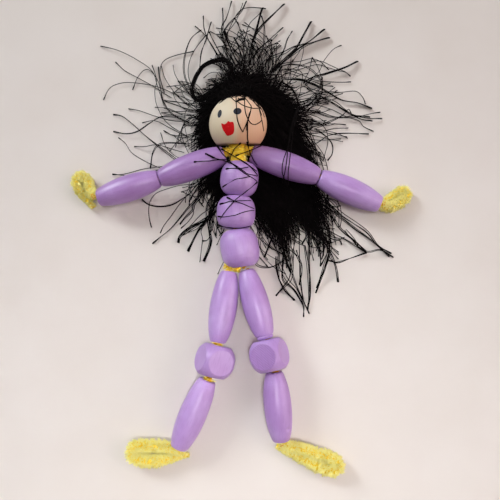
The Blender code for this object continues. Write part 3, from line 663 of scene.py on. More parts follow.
def mound(x, y):
    """Top of the matted hair: a low apron, and a bell behind the crown that fades out at the shoulders."""
    rise = np.clip((y - 3.2) / 5.8, 0, 1)
    return 1.6 + 10.5 * rise**2 * (3 - 2 * rise) * np.exp(-((x - 1) ** 2 + (y - 17) ** 2) / 162)


def over_beads(x, y):
    """Underside and top of the beads over each place, and where there are none, a great height and nought.

    At each place along its bore a bead is a circle, which the place cuts in a chord. The head is a ball.
    """
    middle = bead_frame("head_bead")[0]
    chord = HEAD_RADIUS**2 - (x - middle[0]) ** 2 - (y - middle[1]) ** 2
    rise = np.sqrt(np.clip(chord, 0, None))
    under, top = np.where(chord > 0, middle[2] - rise, 99.0), np.where(chord > 0, middle[2] + rise, 0.0)
    for name, half, shift, radius_at, lean in round_beads:
        middle, axes = bead_frame(name)
        along = (x - middle[0]) * axes[2][0] + (y - middle[1]) * axes[2][1]
        aside = (x - middle[0]) * axes[0][0] + (y - middle[1]) * axes[0][1]
        aside = aside - np.interp(along - shift, (-half, half), lean)
        chord = radius_at(np.clip(along - shift, -half, half)) ** 2 - aside**2
        covered = (chord > 0) & (np.abs(along - shift) < half)
        rise, height = np.sqrt(np.clip(chord, 0, None)), middle[2] + along * axes[2][2]
        under = np.where(covered, np.minimum(under, height - rise), under)
        top = np.where(covered, np.maximum(top, height + rise), top)
    return under, top


def tucked(runs):
    """Keeps hair under what lies on it: below a bead, no point is higher than that bead's underside."""
    under, _ = over_beads(runs[..., 0], runs[..., 1])
    runs[..., 2] = np.maximum(np.minimum(runs[..., 2], under - UNDER_BEAD), ON_FLOOR)
    return runs


def hair_piece(name, points, faces, replaced):
    """A piece of hair that lies where it is made, in place of the named solids."""
    made = piece(name, points, faces, black_thread, "black_thread")
    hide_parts(*replaced)
    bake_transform(made)


def threads(name, runs, radii, replaced=()):
    """A piece of hair of threads, each a thin tube. The radii are one, or one for each step along."""
    hair_piece(name, *tubes(runs, np.broadcast_to(radii, runs.shape[:2]), THREAD_SIDES), replaced)


# Mercerised cotton thread, dyed black: a dull brown-violet shine along each thread, darkest in the mass.
black_thread, shader, tree = finish_tree("black_cotton_thread", Roughness=0.7, IOR=1.45, Specular_IOR_Level=0.06)
place = add(tree, "ShaderNodeTexCoord")
strands = noise(tree, place.outputs["Object"], 900.0, 2.0)
dye = ramp(tree, strands, (0.3, "#030202"), (0.6, "#070405"), (0.8, "#110A0E"))
connect(tree, shader, Base_Color=dye, Normal=bump(tree, strands, 0.3, 0.00005))


def hair_mat():
    """The mat under the loose threads: a mound over rings about its middle, with a ragged rim, flat below."""
    rng = np.random.default_rng(301)
    columns, rings, under_rings, under = 360, 40, 6, 0.05
    turn = np.linspace(-180, 180, columns, endpoint=False)
    ragged = dense_reach(turn) * (0.86 + 0.08 * rng.uniform(-1, 1, columns))
    share = np.concatenate([np.linspace(0.01, 1, rings), np.linspace(1, 0.01, under_rings)])[:, None]
    flat = outward(turn, share * ragged)
    top = mound(flat[..., 0], flat[..., 1]) * 0.8 * (1 - share**6) + 0.1
    top += 0.25 * np.sin(turn[None] * 0.9 + 6 * share) * share * (1 - share)
    own = tucked(np.concatenate([flat, top[..., None]], axis=-1))
    own[rings:, :, 2] = under
    first, last = np.arange(columns), (len(own) - 1) * columns + np.arange(columns)
    faces = np.concatenate([grid_faces(len(own), columns, False), lid_faces(first[::-1]), lid_faces(last)])
    hair_piece("hair_mat", own.reshape(-1, 3), faces, ["hair_mass"])


hair_mat()


def matted_threads(count, rng):
    """Threads from the crown out to the edge of the mat, each with a wavering way and its own layer in it."""
    turn = np.where(rng.random(count) < 0.3, rng.uniform(-84, -44, count), rng.uniform(-180, 180, count))
    tip = outward(turn, dense_reach(turn) * rng.uniform(0.72, 1.06, count))
    root = crown[:2] + rng.normal(0, (2.6, 2.0), (count, 2))
    share = np.array([0, 0.3, 0.62, 1.0])[:, None]
    flat = root[:, None] + share * (tip - root)[:, None]
    across = np.stack([-(tip - root)[:, 1], (tip - root)[:, 0]], axis=1) * rng.normal(0, 0.12, (count, 1))
    flat += np.sin(math.pi * share) * across[:, None] + rng.normal(0, 0.7, flat.shape)
    runs = smooth_run(flat, LOCK_STEPS)
    layer = rng.uniform(0.55, 1.08, (count, 1))
    height = layer * mound(runs[..., 0], runs[..., 1]) * np.linspace(1, 0.7, LOCK_STEPS) + ON_FLOOR
    return tucked(np.concatenate([runs, height[..., None]], axis=-1))


rng = np.random.default_rng(311)
for number in (1, 2):
    threads(f"matted_threads_{number}", matted_threads(700, rng), THREAD)


def locks(roots, tips, bow, plies, rng):
    """Locks of thread: each thread starts beside the lock's root, bows to one side and ends near its tip.

    A thread is a straight line from root to tip with a sine set across it, and its height is the mound's at
    the root, with a low arch over the surface.
    """
    count = len(roots) * plies
    root = np.repeat(roots, plies, axis=0) + rng.normal(0, 1.6, (count, 2))
    tip = np.repeat(tips, plies, axis=0) + rng.normal(0, 1.0, (count, 2))
    reach = (tip - root) * rng.uniform(0.6, 1.05, (count, 1))
    aside = np.repeat(bow, plies) + rng.normal(0, 0.1, count)
    share = np.array([0, 0.3, 0.55, 0.8, 1.0])[:, None]
    across = np.stack([-reach[:, 1], reach[:, 0]], axis=1) * aside[:, None]
    flat = root[:, None] + share * reach[:, None] + np.sin(math.pi * share) * across[:, None]
    runs = smooth_run(flat + rng.normal(0, 0.35, flat.shape) * share, LOCK_STEPS)
    height = mound(runs[..., 0], runs[..., 1]) * np.linspace(0.9, 0.1, LOCK_STEPS) * rng.uniform(0.5, 1, (count, 1))
    height += rng.uniform(0, 1.8, (count, 1)) * np.sin(np.linspace(0, math.pi, LOCK_STEPS)) + ON_FLOOR
    return tucked(np.concatenate([runs, height[..., None]], axis=-1))


def fringe(sectors, rng):
    """Roots and tips of locks round the mat: at angles in a sector, from inside the mat to well beyond its edge."""
    turn = np.concatenate([rng.uniform(low, high, count) for low, high, count, _ in sectors])
    length = np.concatenate([np.full(count, mean) for _, _, count, mean in sectors])
    reach = dense_reach(turn)
    far = reach + length * rng.uniform(0.5, 1.5, len(turn))
    return outward(turn, reach * 0.75), outward(turn + rng.normal(0, 8, len(turn)), far)


# Loose locks: ends of the same thread that stand out past the mat round the head, a few to a lock.
# They are scattered at random by sector in a thin tangle.
SECTORS = (  # first and last angle, number of locks, mean length past the mat in mm
    (-16, 30, 9, 11), (30, 70, 8, 11), (70, 112, 14, 12), (112, 150, 3, 6), (150, 190, 8, 9), (-128, -98, 8, 5),
    (-82, -46, 18, 6))
rng = np.random.default_rng(321)
roots, tips = fringe(SECTORS, rng)
runs = locks(roots, tips, rng.normal(0, 0.16, len(roots)), 4, rng)
frayed = THREAD * (1 + 0.5 * np.clip((np.linspace(0, 1, LOCK_STEPS) - 0.88) / 0.08, 0, 1))
threads("loose_locks", runs, frayed)


# Long ends: threads that stand clear of the rest, in ones and twos above and in locks of a few below the arms,
# thicker where the cut tip frays. Each is a route in mm on the surface, from its tip back into the mat.
LONG_STEPS, CLUMP_PLIES = 30, 5
LONG_ENDS = (
    ((-47.6, 41.0), (-41.5, 38.9), (-34.9, 35.3), (-29.8, 31.4), (-28.0, 26.4), (-25.8, 19.4)),
    ((-42.3, 35.3), (-38.9, 32.1), (-33.7, 29.2), (-28.3, 26.4), (-22.9, 22.9)),
    ((-45.9, 21.8), (-44.3, 25.0), (-42.0, 26.8), (-37.1, 27.7), (-28.0, 26.4), (-20.2, 22.9)),
    ((-36.3, 25.4), (-34.4, 29.6), (-31.5, 32.1), (-28.4, 28.5), (-26.9, 22.2)),
    ((-29.9, 34.2), (-28.0, 28.5), (-28.3, 24.3), (-27.2, 19.4), (-24.0, 14.2), (-17.3, 9.7)),
    ((-27.8, 33.5), (-27.0, 27.1), (-25.9, 21.5), (-22.8, 16.6), (-17.1, 13.1)),
    ((-26.8, 33.9), (-25.0, 28.5), (-21.6, 23.2), (-16.8, 19.4)),
    ((-22.8, 34.2), (-21.7, 30.0), (-18.9, 25.7), (-15.5, 22.2)),
    ((-15.8, 39.2), (-22.2, 37.4), (-26.2, 34.9), (-27.1, 30.0), (-25.6, 24.3)),
    ((-42.4, 16.6), (-39.4, 15.9), (-36.3, 13.5), (-31.5, 9.0), (-27.2, 5.6), (-20.8, 0.8)),
    ((-42.2, 10.7), (-37.8, 9.7), (-33.9, 10.4), (-30.0, 13.1), (-25.7, 15.6), (-18.1, 15.2)),
    ((-40.4, 8.7), (-37.7, 6.3), (-34.6, 2.5), (-26.3, -1.9), (-20.4, -2.9)),
    ((-29.6, -1.9), (-28.4, 3.5), (-25.5, 5.9), (-17.9, 5.9)),
    ((-42.0, -3.9), (-37.7, -4.3), (-30.6, -2.9), (-24.0, -1.6)),
    ((-32.7, 13.8), (-28.4, 14.5), (-23.3, 12.4), (-17.0, 9.0)),
    ((-37.4, 18.7), (-33.1, 17.7), (-28.1, 15.9), (-22.7, 14.2), (-16.8, 14.2)),
    ((-35.1, 5.6), (-31.1, 5.2), (-26.5, 5.6), (-18.6, 3.5)),
    ((-15.6, 48.3), (-11.4, 43.6), (-7.3, 37.4), (-4.3, 32.1)),
    ((-10.8, 46.1), (-9.1, 42.1), (-5.6, 35.7)),
    ((-12.9, 52.0), (-12.2, 46.5), (-10.1, 41.4), (-6.3, 34.9)),
    ((48.6, -30.0), (44.2, -27.4), (41.1, -23.2), (37.0, -19.9), (32.3, -16.6), (27.5, -12.0)),
    ((47.9, -31.0), (42.3, -26.1), (37.3, -22.5), (32.5, -18.6), (26.5, -13.6)),
    ((49.2, -31.3), (44.8, -29.0), (40.6, -29.7), (37.1, -27.7), (33.0, -25.1), (28.9, -22.8)),
    ((40.6, -29.7), (37.8, -28.4), (35.9, -25.8), (33.7, -22.5)),
    ((40.6, -29.7), (35.1, -31.6), (30.9, -32.9), (28.4, -32.2)),
    ((24.0, -42.8), (25.7, -38.0), (27.7, -32.9), (29.1, -27.1), (27.6, -21.2)),
    ((24.4, -41.2), (26.7, -34.8), (28.4, -29.0), (26.3, -22.5)),
    ((31.4, -39.3), (30.6, -34.8), (29.1, -30.3), (26.3, -25.1)),
    ((21.4, -48.1), (22.1, -43.4), (21.9, -35.5), (20.8, -27.7)),
    ((20.1, -50.3), (19.9, -46.9), (17.7, -42.2), (14.9, -38.7), (12.4, -32.9)),
    ((11.4, -43.7), (13.9, -40.6), (15.9, -37.4), (16.6, -31.0)),
    ((17.4, -45.0), (13.9, -41.5), (12.1, -36.1), (11.8, -31.0)),
    ((25.8, -34.2), (25.6, -29.7), (23.7, -24.5)),
    ((19.0, -40.2), (19.4, -34.8), (17.9, -29.0)),
    ((14.9, -34.8), (14.6, -31.0), (13.4, -27.1)),
    ((16.2, -36.0), (13.0, -26.8), (14.1, -17.1)),
    ((15.9, -36.0), (14.0, -29.4), (15.7, -19.5)),
    ((18.2, -30.8), (15.0, -27.8), (12.1, -21.1)),
    ((7.8, -31.4), (11.1, -22.8), (11.5, -16.1)),
    ((17.1, -45.1), (12.9, -39.6), (12.0, -36.0), (12.4, -24.8)),
    ((20.0, -46.4), (16.8, -41.3), (13.6, -38.0), (14.3, -29.4)),
    ((21.9, -49.3), (17.5, -39.3), (16.2, -32.9), (15.0, -24.0)),
    ((20.0, -45.1), (19.1, -36.0), (19.3, -21.8)),
    ((21.6, -46.7), (22.3, -43.5), (22.1, -36.0), (22.3, -21.8)),
    ((26.7, -30.8), (26.2, -26.1), (24.0, -18.5), (23.2, -15.2)),
    ((26.0, -33.7), (28.4, -28.8), (28.8, -24.8), (27.7, -14.6)),
    ((26.1, -29.4), (23.9, -26.8), (23.0, -21.1), (21.9, -18.5)),
    ((24.1, -42.7), (27.3, -34.4), (28.8, -27.5), (28.6, -20.8)),
    ((31.1, -39.3), (30.3, -33.7), (29.0, -30.8), (28.2, -25.7)),
    ((19.9, -27.1), (21.9, -23.5), (21.0, -20.5), (20.3, -17.2)),
    ((32.7, -27.1), (31.8, -25.8), (29.5, -25.2), (27.3, -23.1)),
    ((32.7, -14.4), (29.7, -14.4), (25.8, -9.3), (23.4, -6.9)),
    ((40.5, -29.4), (37.6, -26.8), (31.5, -21.1), (28.1, -12.7)),
    ((14.0, -32.4), (9.4, -34.7), (5.1, -33.7), (4.4, -29.0)),
    ((8.8, -34.4), (6.1, -30.8), (5.4, -27.4)),
    ((-13.5, 46.9), (-17.1, 42.6), (-18.9, 35.4), (-18.3, 29.0), (-15.5, 23.0)),
    ((-11.8, 45.1), (-16.1, 38.3), (-17.8, 32.6), (-17.4, 28.3), (-14.9, 24.1)),
    ((-10.1, 49.8), (-11.7, 43.3), (-13.4, 38.3), (-14.0, 31.8)),
    ((29.7, 32.5), (27.1, 34.9), (24.0, 35.8), (20.1, 34.7), (14.7, 34.1), (10.0, 30.9)),
    ((25.6, 20.3), (27.2, 24.4), (26.9, 27.6), (25.0, 30.4), (21.6, 32.9), (16.2, 33.7), (11.2, 31.7)),
    ((41.7, 20.3), (40.6, 22.7), (38.4, 24.6), (33.8, 24.4), (29.5, 24.4), (26.1, 25.2), (20.8, 26.8)),
    ((24.2, 37.0), (23.1, 31.7), (21.5, 27.6), (23.4, 24.8), (19.9, 23.1), (17.6, 22.3)),
    ((24.2, 37.0), (25.5, 33.7), (26.9, 29.2), (27.3, 26.4), (26.1, 21.9), (22.2, 17.9)),
    ((43.8, 14.5), (40.4, 14.7), (37.4, 15.9), (34.4, 17.9), (31.4, 20.3), (27.6, 21.5), (23.0, 20.3), (19.5, 18.3)),
    ((43.1, 15.9), (38.1, 15.9), (33.5, 15.1), (29.4, 15.5), (24.8, 17.1), (20.6, 16.7)),
    ((37.0, 16.7), (35.9, 18.3), (33.6, 15.9), (29.7, 13.9), (25.5, 12.3), (21.3, 11.2)),
    ((35.8, 12.0), (30.4, 11.6), (25.8, 10.2), (21.3, 10.4), (18.3, 11.6)),
    ((42.5, 10.0), (34.9, 10.0), (29.6, 9.2), (25.8, 6.8), (22.0, 4.9)),
    ((27.2, 0.9), (28.6, 6.4), (28.1, 10.4), (25.5, 13.5), (20.6, 15.1)),
    ((28.7, 0.8), (30.1, 2.9), (30.3, 6.0), (28.7, 8.8), (25.1, 11.6)),
    ((44.1, 10.8), (40.7, 12.3), (39.2, 14.3), (35.1, 15.9), (29.8, 18.7), (23.7, 20.3)),
    ((19.2, 22.3), (20.0, 24.8), (20.8, 30.9), (17.7, 32.5), (13.1, 31.7)),
    ((46.6, 17.5), (42.7, 16.7), (37.4, 15.5), (31.3, 15.9), (26.0, 17.9), (20.6, 18.7)),
    ((47.1, 15.3), (42.7, 15.1), (37.0, 16.3), (32.1, 19.5), (27.6, 22.7), (22.3, 26.0)),
    ((37.1, 28.2), (33.5, 27.9), (28.8, 28.0), (24.6, 28.8), (20.0, 30.9), (14.7, 32.5)),
    ((37.0, 30.2), (35.1, 31.3), (32.8, 31.7), (29.3, 32.9), (25.5, 34.1), (20.1, 32.5), (14.6, 30.4)),
    ((34.2, 41.3), (31.0, 39.1), (27.8, 34.9), (26.2, 31.7), (21.5, 27.6)),
    ((31.1, 26.6), (27.7, 26.4), (23.8, 27.6), (18.5, 28.4), (13.9, 28.8)),
    ((-6.3, 54.9), (-6.1, 51.1), (-5.9, 46.5), (-3.9, 40.7), (-1.2, 34.9)),
    ((-3.2, 57.5), (-4.7, 50.7), (-6.3, 46.5), (-4.7, 39.9)),
    ((-2.0, 51.1), (1.1, 44.0), (2.3, 39.1), (2.7, 34.1)),
    ((0.5, 56.6), (0.7, 54.9), (-1.2, 49.9), (-4.7, 44.9)),
    ((8.6, 54.7), (2.3, 54.5), (-1.2, 52.4), (-4.7, 45.7), (-6.2, 39.9)),
    ((7.2, 54.9), (6.2, 52.4), (3.1, 49.0), (1.7, 44.9), (0.8, 39.9), (1.9, 34.1)),
    ((7.0, 52.0), (8.0, 47.0), (7.7, 40.7), (5.8, 35.8)),
    ((14.4, 47.8), (8.5, 42.0), (4.2, 37.4), (2.3, 32.5)),
    ((12.8, 42.0), (9.3, 40.7), (5.4, 37.8), (3.9, 33.3)),
    ((17.5, 46.5), (15.9, 43.2), (14.7, 39.5), (11.6, 34.9)),
    ((-2.4, 44.0), (-0.8, 40.7), (-0.0, 36.6), (0.8, 32.5)),
    ((4.6, 42.8), (5.8, 39.1), (4.6, 35.8), (5.8, 32.5)),
    ((1.9, 57.5), (-0.1, 52.8), (-4.7, 47.8), (-7.0, 43.6)),
    ((-28.8, -21.6), (-29.5, -18.3), (-29.6, -15.3), (-29.0, -12.6), (-27.2, -10.4), (-23.8, -9.1), (-19.7, -8.0),
     (-15.6, -7.4), (-11.3, -5.2)),
    ((-32.1, -12.3), (-30.0, -14.0), (-27.4, -14.7), (-24.2, -14.7), (-21.3, -13.8), (-18.5, -12.0), (-16.5, -10.6),
     (-14.5, -8.2), (-11.0, -4.6)),
    ((-25.9, -23.4), (-24.7, -21.2), (-22.4, -18.3), (-19.6, -14.4), (-17.0, -11.1), (-15.6, -8.2), (-12.2, -4.6)),
    ((-28.3, -26.9), (-25.7, -24.8), (-22.6, -22.2), (-19.5, -18.5), (-17.0, -15.3), (-14.1, -12.3), (-11.8, -9.4),
     (-8.9, -6.1)),
    ((-19.6, -20.6), (-17.8, -18.3), (-15.5, -15.9), (-15.0, -14.1), (-13.2, -11.7), (-11.5, -9.1), (-8.9, -5.8)),
    ((-19.2, -21.8), (-16.6, -19.7), (-14.9, -17.1), (-15.5, -14.7), (-13.8, -12.0), (-11.0, -8.2)),
    ((-19.0, -23.7), (-16.0, -20.9), (-13.2, -17.7), (-10.6, -15.3), (-8.9, -12.3), (-7.8, -9.1)),
    ((-18.8, -24.1), (-15.4, -22.9), (-13.4, -22.1), (-10.8, -19.7), (-8.5, -17.1)),
    ((-13.0, -32.9), (-12.6, -29.3), (-12.2, -25.3), (-12.5, -22.9), (-11.1, -20.0), (-9.1, -16.5)),
    ((-12.1, -26.0), (-10.8, -25.9), (-9.8, -24.7), (-9.4, -22.4), (-8.8, -19.4)),
    ((-7.8, -24.3), (-7.6, -21.2), (-7.5, -17.1), (-7.4, -13.5)),
    ((-17.1, -23.2), (-13.7, -20.9), (-11.1, -18.3), (-9.7, -15.9), (-8.0, -12.0)),
    ((-7.6, -27.3), (-5.9, -24.4), (-5.0, -21.8)),
    ((-7.2, -36.7), (-5.5, -33.9), (-4.1, -31.6)),
)
CLUMPS = (  # the same, each of several threads
    ((43.9, 18.9), (39.0, 20.7), (33.7, 21.5), (28.8, 24.4), (24.6, 26.8), (20.0, 28.4), (14.6, 28.4)),
    ((39.4, 35.6), (34.7, 32.9), (28.9, 30.9), (23.9, 29.6), (20.8, 27.6)),
    ((28.4, 47.2), (22.5, 42.0), (17.8, 40.3), (14.7, 38.6), (9.7, 36.6), (7.7, 34.1)),
    ((30.1, 44.2), (24.8, 42.2), (20.2, 40.3), (14.7, 35.8), (9.6, 30.9)),
    ((23.8, 49.9), (21.0, 44.5), (18.6, 39.9), (14.7, 35.8), (10.4, 30.9)),
    ((7.2, 54.9), (5.8, 49.0), (3.9, 40.7), (3.1, 32.9)),
    ((14.7, 56.4), (11.3, 52.4), (7.0, 47.8), (4.2, 43.6), (3.1, 37.4)),
    ((-5.9, 46.5), (-2.7, 37.4), (-0.0, 32.5)),
    ((19.5, 19.1), (18.4, 22.3), (16.9, 24.8), (14.6, 26.4), (11.5, 28.0)),
    ((-19.8, -26.7), (-19.1, -24.7), (-16.6, -22.4), (-13.1, -20.3), (-10.3, -18.5), (-8.0, -15.9)),
    ((-16.6, -29.5), (-15.3, -27.0), (-13.4, -23.2), (-11.7, -20.9), (-10.0, -18.3), (-8.3, -14.7)),
    ((-11.5, -32.7), (-9.9, -29.3), (-9.0, -26.1), (-9.4, -22.9), (-9.7, -19.7), (-8.6, -15.9)),
)


def long_end(route, rng, plies):
    """Plies along one route: the same curve, each set a little to one side, less and less towards the tip."""
    flat = smooth_run(route, LONG_STEPS)
    share = np.linspace(0, 1, LONG_STEPS)
    slope = np.gradient(flat, axis=0)
    across = np.stack([-slope[:, 1], slope[:, 0]], axis=1) / (np.linalg.norm(slope, axis=1)[:, None] + 1e-9)
    off = rng.normal(0, 0.3, (plies, 1)) * np.clip((share - 0.08) / 0.5, 0, 1) + 0.12 * np.arange(plies)[:, None]
    off = off + 0.25 * np.sin(share * rng.uniform(3, 9, (plies, 1)) + rng.uniform(0, 6, (plies, 1))) * share
    runs = flat[None] + off[..., None] * across[None]
    lift = rng.uniform(0.2, 1.5)
    height = 0.3 + lift * np.sin(math.pi * share**0.8) + np.maximum(mound(runs[..., 0], runs[..., 1]) - 1.7, 0)
    height = height + 0.15 * np.arange(plies)[:, None]
    return tucked(np.concatenate([runs, height[..., None]], axis=-1))


def under_right_arm(route):
    """Whether the tip of a route lies below the right arm, where each end has a thread more."""
    return route[0][0] > 0 and route[0][1] < -20


rng = np.random.default_rng(331)
runs = [long_end(route, rng, int(rng.integers(1, 3)) + under_right_arm(route)) for route in LONG_ENDS]
runs = np.concatenate(runs + [long_end(route, rng, CLUMP_PLIES) for route in CLUMPS])
frayed = THREAD * (1.1 + 0.7 * np.clip((0.12 - np.linspace(0, 1, LONG_STEPS)) / 0.08, 0, 1))
lock_solids = [name for name in frame["nodes"] if name.startswith("hair_lock")]
threads("long_ends", runs, frayed, lock_solids)


# The loop at the upper left: a skein of the same thread that turns out of the mat and back into it.
# Its threads wander a little about one route.
LOOP_ROUTE = ((-2.9, 29.0, 6.0), (-5.2, 33.7, 4.5), (-9.1, 33.8, 3.6), (-12.7, 32.0, 3.0),
              (-15.0, 28.5, 2.6), (-16.1, 25.1, 2.2), (-15.8, 22.4, 2.0), (-14.1, 21.1, 2.2),
              (-11.1, 22.1, 3.0), (-6.9, 24.7, 5.0))
LOOP_THREADS, LOOP_STEPS = 22, 36
rng = np.random.default_rng(341)
skein = smooth_run(LOOP_ROUTE, LOOP_STEPS)[None] + rng.normal(0, 0.24, (LOOP_THREADS, 1, 3))
skein = skein + rng.normal(0, 0.09, (LOOP_THREADS, LOOP_STEPS, 3)).cumsum(1) * 0.7
threads("hair_loop", tucked(skein), THREAD)


# Strays: single threads that have fallen across the face, the collar, the torso beads and the right arm.
# Those on the face go with the head, and the others with the stretch of stem in the bead that they lie on.
STRAY, STRAY_PAIR = 0.14, 0.18  # radius of a stray thread, and of two that cling together, mm
STRAY_SIDES, STRAY_STEPS, TAUT_PASSES = 4, 40, 120
FACE_STRAYS = (
    ((-1.1, 16.6), (-1.0, 13.1), (-0.8, 9.3), (-0.6, 7.2), (0.1, 5.3), (1.0, 3.9)),
    ((1.0, 3.9), (1.9, 5.8), (2.8, 8.1), (3.3, 9.9)),
    ((3.3, 10.1), (3.0, 8.9), (2.5, 7.2), (2.4, 5.6), (2.4, 4.1), (2.4, 2.5), (2.7, 1.6)),
    ((3.1, 9.7), (2.8, 8.4), (2.4, 6.9), (2.2, 5.3), (2.2, 4.4)),
    ((1.4, 16.3), (1.5, 13.5), (1.6, 10.9), (2.1, 8.5), (3.3, 6.6), (4.6, 6.4), (6.0, 7.4), (6.7, 8.4)),
    ((1.1, 16.0), (2.8, 13.1), (3.5, 11.8), (3.3, 10.1)),
    ((3.6, 15.9), (4.5, 15.0), (5.5, 13.6), (6.2, 10.4), (6.8, 8.0), (7.3, 5.8)),
    ((-3.1, 16.4), (-1.6, 15.3), (0.1, 15.8), (1.8, 14.4)),
    ((-2.4, 16.8), (-0.8, 15.9), (0.6, 16.6), (1.9, 16.2)),
    ((-0.6, 13.3), (0.5, 12.2), (2.1, 11.5), (4.2, 11.4), (6.2, 12.2)),
    ((4.8, 15.2), (5.9, 13.6), (6.8, 12.0), (7.5, 9.9)),
    ((-0.7, 16.7), (0.1, 15.9), (1.1, 16.2)),
    ((-2.8, 15.7), (-1.8, 14.0), (-0.9, 13.2), (0.3, 13.8), (1.5, 14.1)),
    ((-2.6, 15.3), (-1.5, 13.6), (-0.7, 13.1), (0.0, 14.2), (1.0, 14.9)),
    ((-0.5, 14.8), (0.0, 14.4), (0.8, 14.2), (1.5, 13.9)),
    ((-0.4, 14.3), (0.3, 13.9), (0.9, 14.2), (1.6, 14.4)),
    ((-0.8, 13.5), (-0.1, 14.1), (0.5, 14.6), (1.2, 14.5)),
    ((-0.7, 13.9), (0.0, 13.7), (0.8, 14.0), (1.3, 14.8)),
    ((2.9, 15.2), (3.9, 14.6), (4.9, 13.4), (5.8, 12.4), (6.3, 11.0), (6.7, 9.9)),
    ((4.1, 14.9), (5.1, 13.0), (6.1, 12.7), (7.0, 11.9)),
    ((-6.0, 14.0), (-5.2, 14.6), (-4.2, 15.5), (-3.2, 15.9), (-2.2, 16.0), (-1.0, 15.9)),
    ((-6.3, 13.8), (-5.4, 14.8), (-4.4, 16.2), (-3.3, 16.6), (-1.9, 16.4), (-0.6, 16.4)),
    ((-5.7, 14.0), (-4.8, 14.8), (-3.9, 15.4), (-3.0, 15.5), (-2.3, 15.2)),
    ((1.5, 15.3), (2.3, 16.1), (3.2, 15.7), (4.1, 15.4), (4.8, 14.8)),
    ((1.0, 15.8), (2.0, 16.4), (3.0, 16.5), (4.1, 16.1), (5.1, 15.4), (6.0, 14.6)),
)
BODY_STRAYS = {
    "chest": (
        ((-7.4, 2.9), (-5.6, -0.5), (-4.4, -2.0), (-1.7, -5.0), (1.0, -7.2), (2.3, -7.9), (5.3, -9.0)),
        ((-10.6, -0.8), (-6.7, -2.7), (-4.9, -3.2), (-1.9, -4.6), (1.0, -6.7), (2.6, -7.6), (5.3, -7.5)),
        ((-8.6, -1.9), (-7.0, -2.4), (-5.3, -2.8), (-4.1, -3.5), (-2.8, -4.1), (-1.7, -4.8), (-0.6, -5.6)),
        ((-4.3, 0.6), (-2.8, -0.7), (0.4, -3.1), (2.0, -4.2), (3.1, -5.1), (4.8, -6.6), (5.5, -7.2)),
        ((-5.7, 0.9), (-4.1, -0.1), (-1.2, -2.0), (0.1, -3.0), (1.6, -4.1), (4.2, -5.6), (5.2, -6.0)),
        ((-14.1, -3.5), (-12.7, -3.4), (-10.1, -3.2), (-8.9, -3.1), (-7.7, -2.8), (-5.3, -2.4), (-4.1, -2.1)),
        ((0.4, 1.4), (-0.6, 0.8), (-1.7, 0.2), (-2.3, -0.7), (-2.9, -1.7), (-3.0, -2.5), (-3.2, -3.3)),
        ((-1.3, -1.3), (0.8, -0.5), (2.9, 0.3), (4.8, 1.1), (6.7, 2.2)),
        ((2.3, 1.8), (2.7, 0.6), (3.1, -0.6), (3.7, -1.5), (4.2, -2.4), (4.8, -3.2), (5.4, -3.7)),
        ((-5.3, -10.7), (-3.2, -10.2), (-1.2, -9.3), (0.7, -9.0), (2.6, -8.5), (2.9, -8.4), (3.1, -8.3)),
        ((-4.2, -5.7), (-3.1, -5.8), (-2.0, -5.9), (-0.9, -6.0), (0.2, -6.1), (1.4, -5.8), (2.6, -5.5)),
    ),
    "waist": (
        ((5.3, -9.2), (4.2, -10.5), (1.4, -13.1), (-0.4, -14.6), (-2.1, -16.4), (-4.9, -19.5), (-5.9, -20.8)),
        ((-6.1, -16.2), (-4.5, -16.2), (-3.1, -15.9), (-1.5, -15.9), (0.2, -15.7), (1.8, -15.5), (3.4, -15.1)),
        ((-3.9, -14.4), (-2.5, -15.3), (-1.2, -16.0), (0.2, -16.4), (1.5, -16.8), (2.9, -17.2), (4.4, -17.4)),
        ((-6.7, -19.8), (-4.8, -20.4), (-1.7, -20.2), (-0.4, -19.8), (0.8, -19.3), (3.2, -18.4), (4.4, -18.0)),
        ((-6.9, -22.4), (-5.0, -23.1), (-3.2, -23.4), (-1.5, -23.7), (0.1, -23.7), (1.8, -23.3), (3.4, -22.8)),
    ),
    "right_upper_arm": (
        ((18.4, 15.6), (16.9, 10.9), (15.9, 6.3), (14.9, 1.7), (13.4, -2.8), (13.0, -6.1), (13.8, -8.3), (14.7, -10.6)),
        ((18.1, 14.3), (16.1, 9.0), (15.3, 4.3), (14.6, -1.1), (14.2, -4.3), (13.8, -6.7), (13.1, -9.3)),
        ((17.9, 12.9), (16.6, 7.6), (16.1, 3.0), (15.4, -2.1), (15.0, -5.2), (14.9, -7.4), (15.0, -9.9)),
    ),
}


def bead_tops(x, y):
    """Height of what a stray can lie on: the highest of the mound, the collar (a ball) and the beads."""
    middle, radius = (-0.6, 0.2, 9.4), 2.9
    collar = middle[2] + np.sqrt(np.clip(radius**2 - (x - middle[0]) ** 2 - (y - middle[1]) ** 2, 0, None))
    return np.maximum(np.maximum(mound(x, y), collar), over_beads(x, y)[1])


def draped(routes, lift):
    """Threads pulled taut over what they lie on: heights averaged along each again and again, never below it."""
    flat = np.stack([smooth_run(route, STRAY_STEPS) for route in routes])
    floor = bead_tops(flat[..., 0], flat[..., 1]) + lift
    height = floor.copy()
    for _ in range(TAUT_PASSES):
        height[:, 1:-1] = np.maximum(floor[:, 1:-1], (height[:, :-2] + height[:, 2:]) / 2)
    return np.concatenate([flat, height[..., None]], axis=-1)


def strays(name, routes, lift, radii, body):
    """Stray threads on a body. The radii are one for each step along, or a column with one for each thread."""
    runs = draped(routes, lift)
    points, faces = tubes(runs, np.broadcast_to(radii, runs.shape[:2]), STRAY_SIDES)
    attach(piece(name, points, faces, black_thread, "black_thread"), body)


thick = np.full((len(FACE_STRAYS), 1), STRAY)
thick[2:4] = STRAY_PAIR
strays("face_strays", FACE_STRAYS, 0.1, thick, "head")
frayed = STRAY * (1 + 1.1 * np.clip((0.14 - np.linspace(0, 1, STRAY_STEPS)) / 0.06, 0, 1))
for body, routes in BODY_STRAYS.items():
    strays(body + "_strays", routes, 0.12, frayed, body)


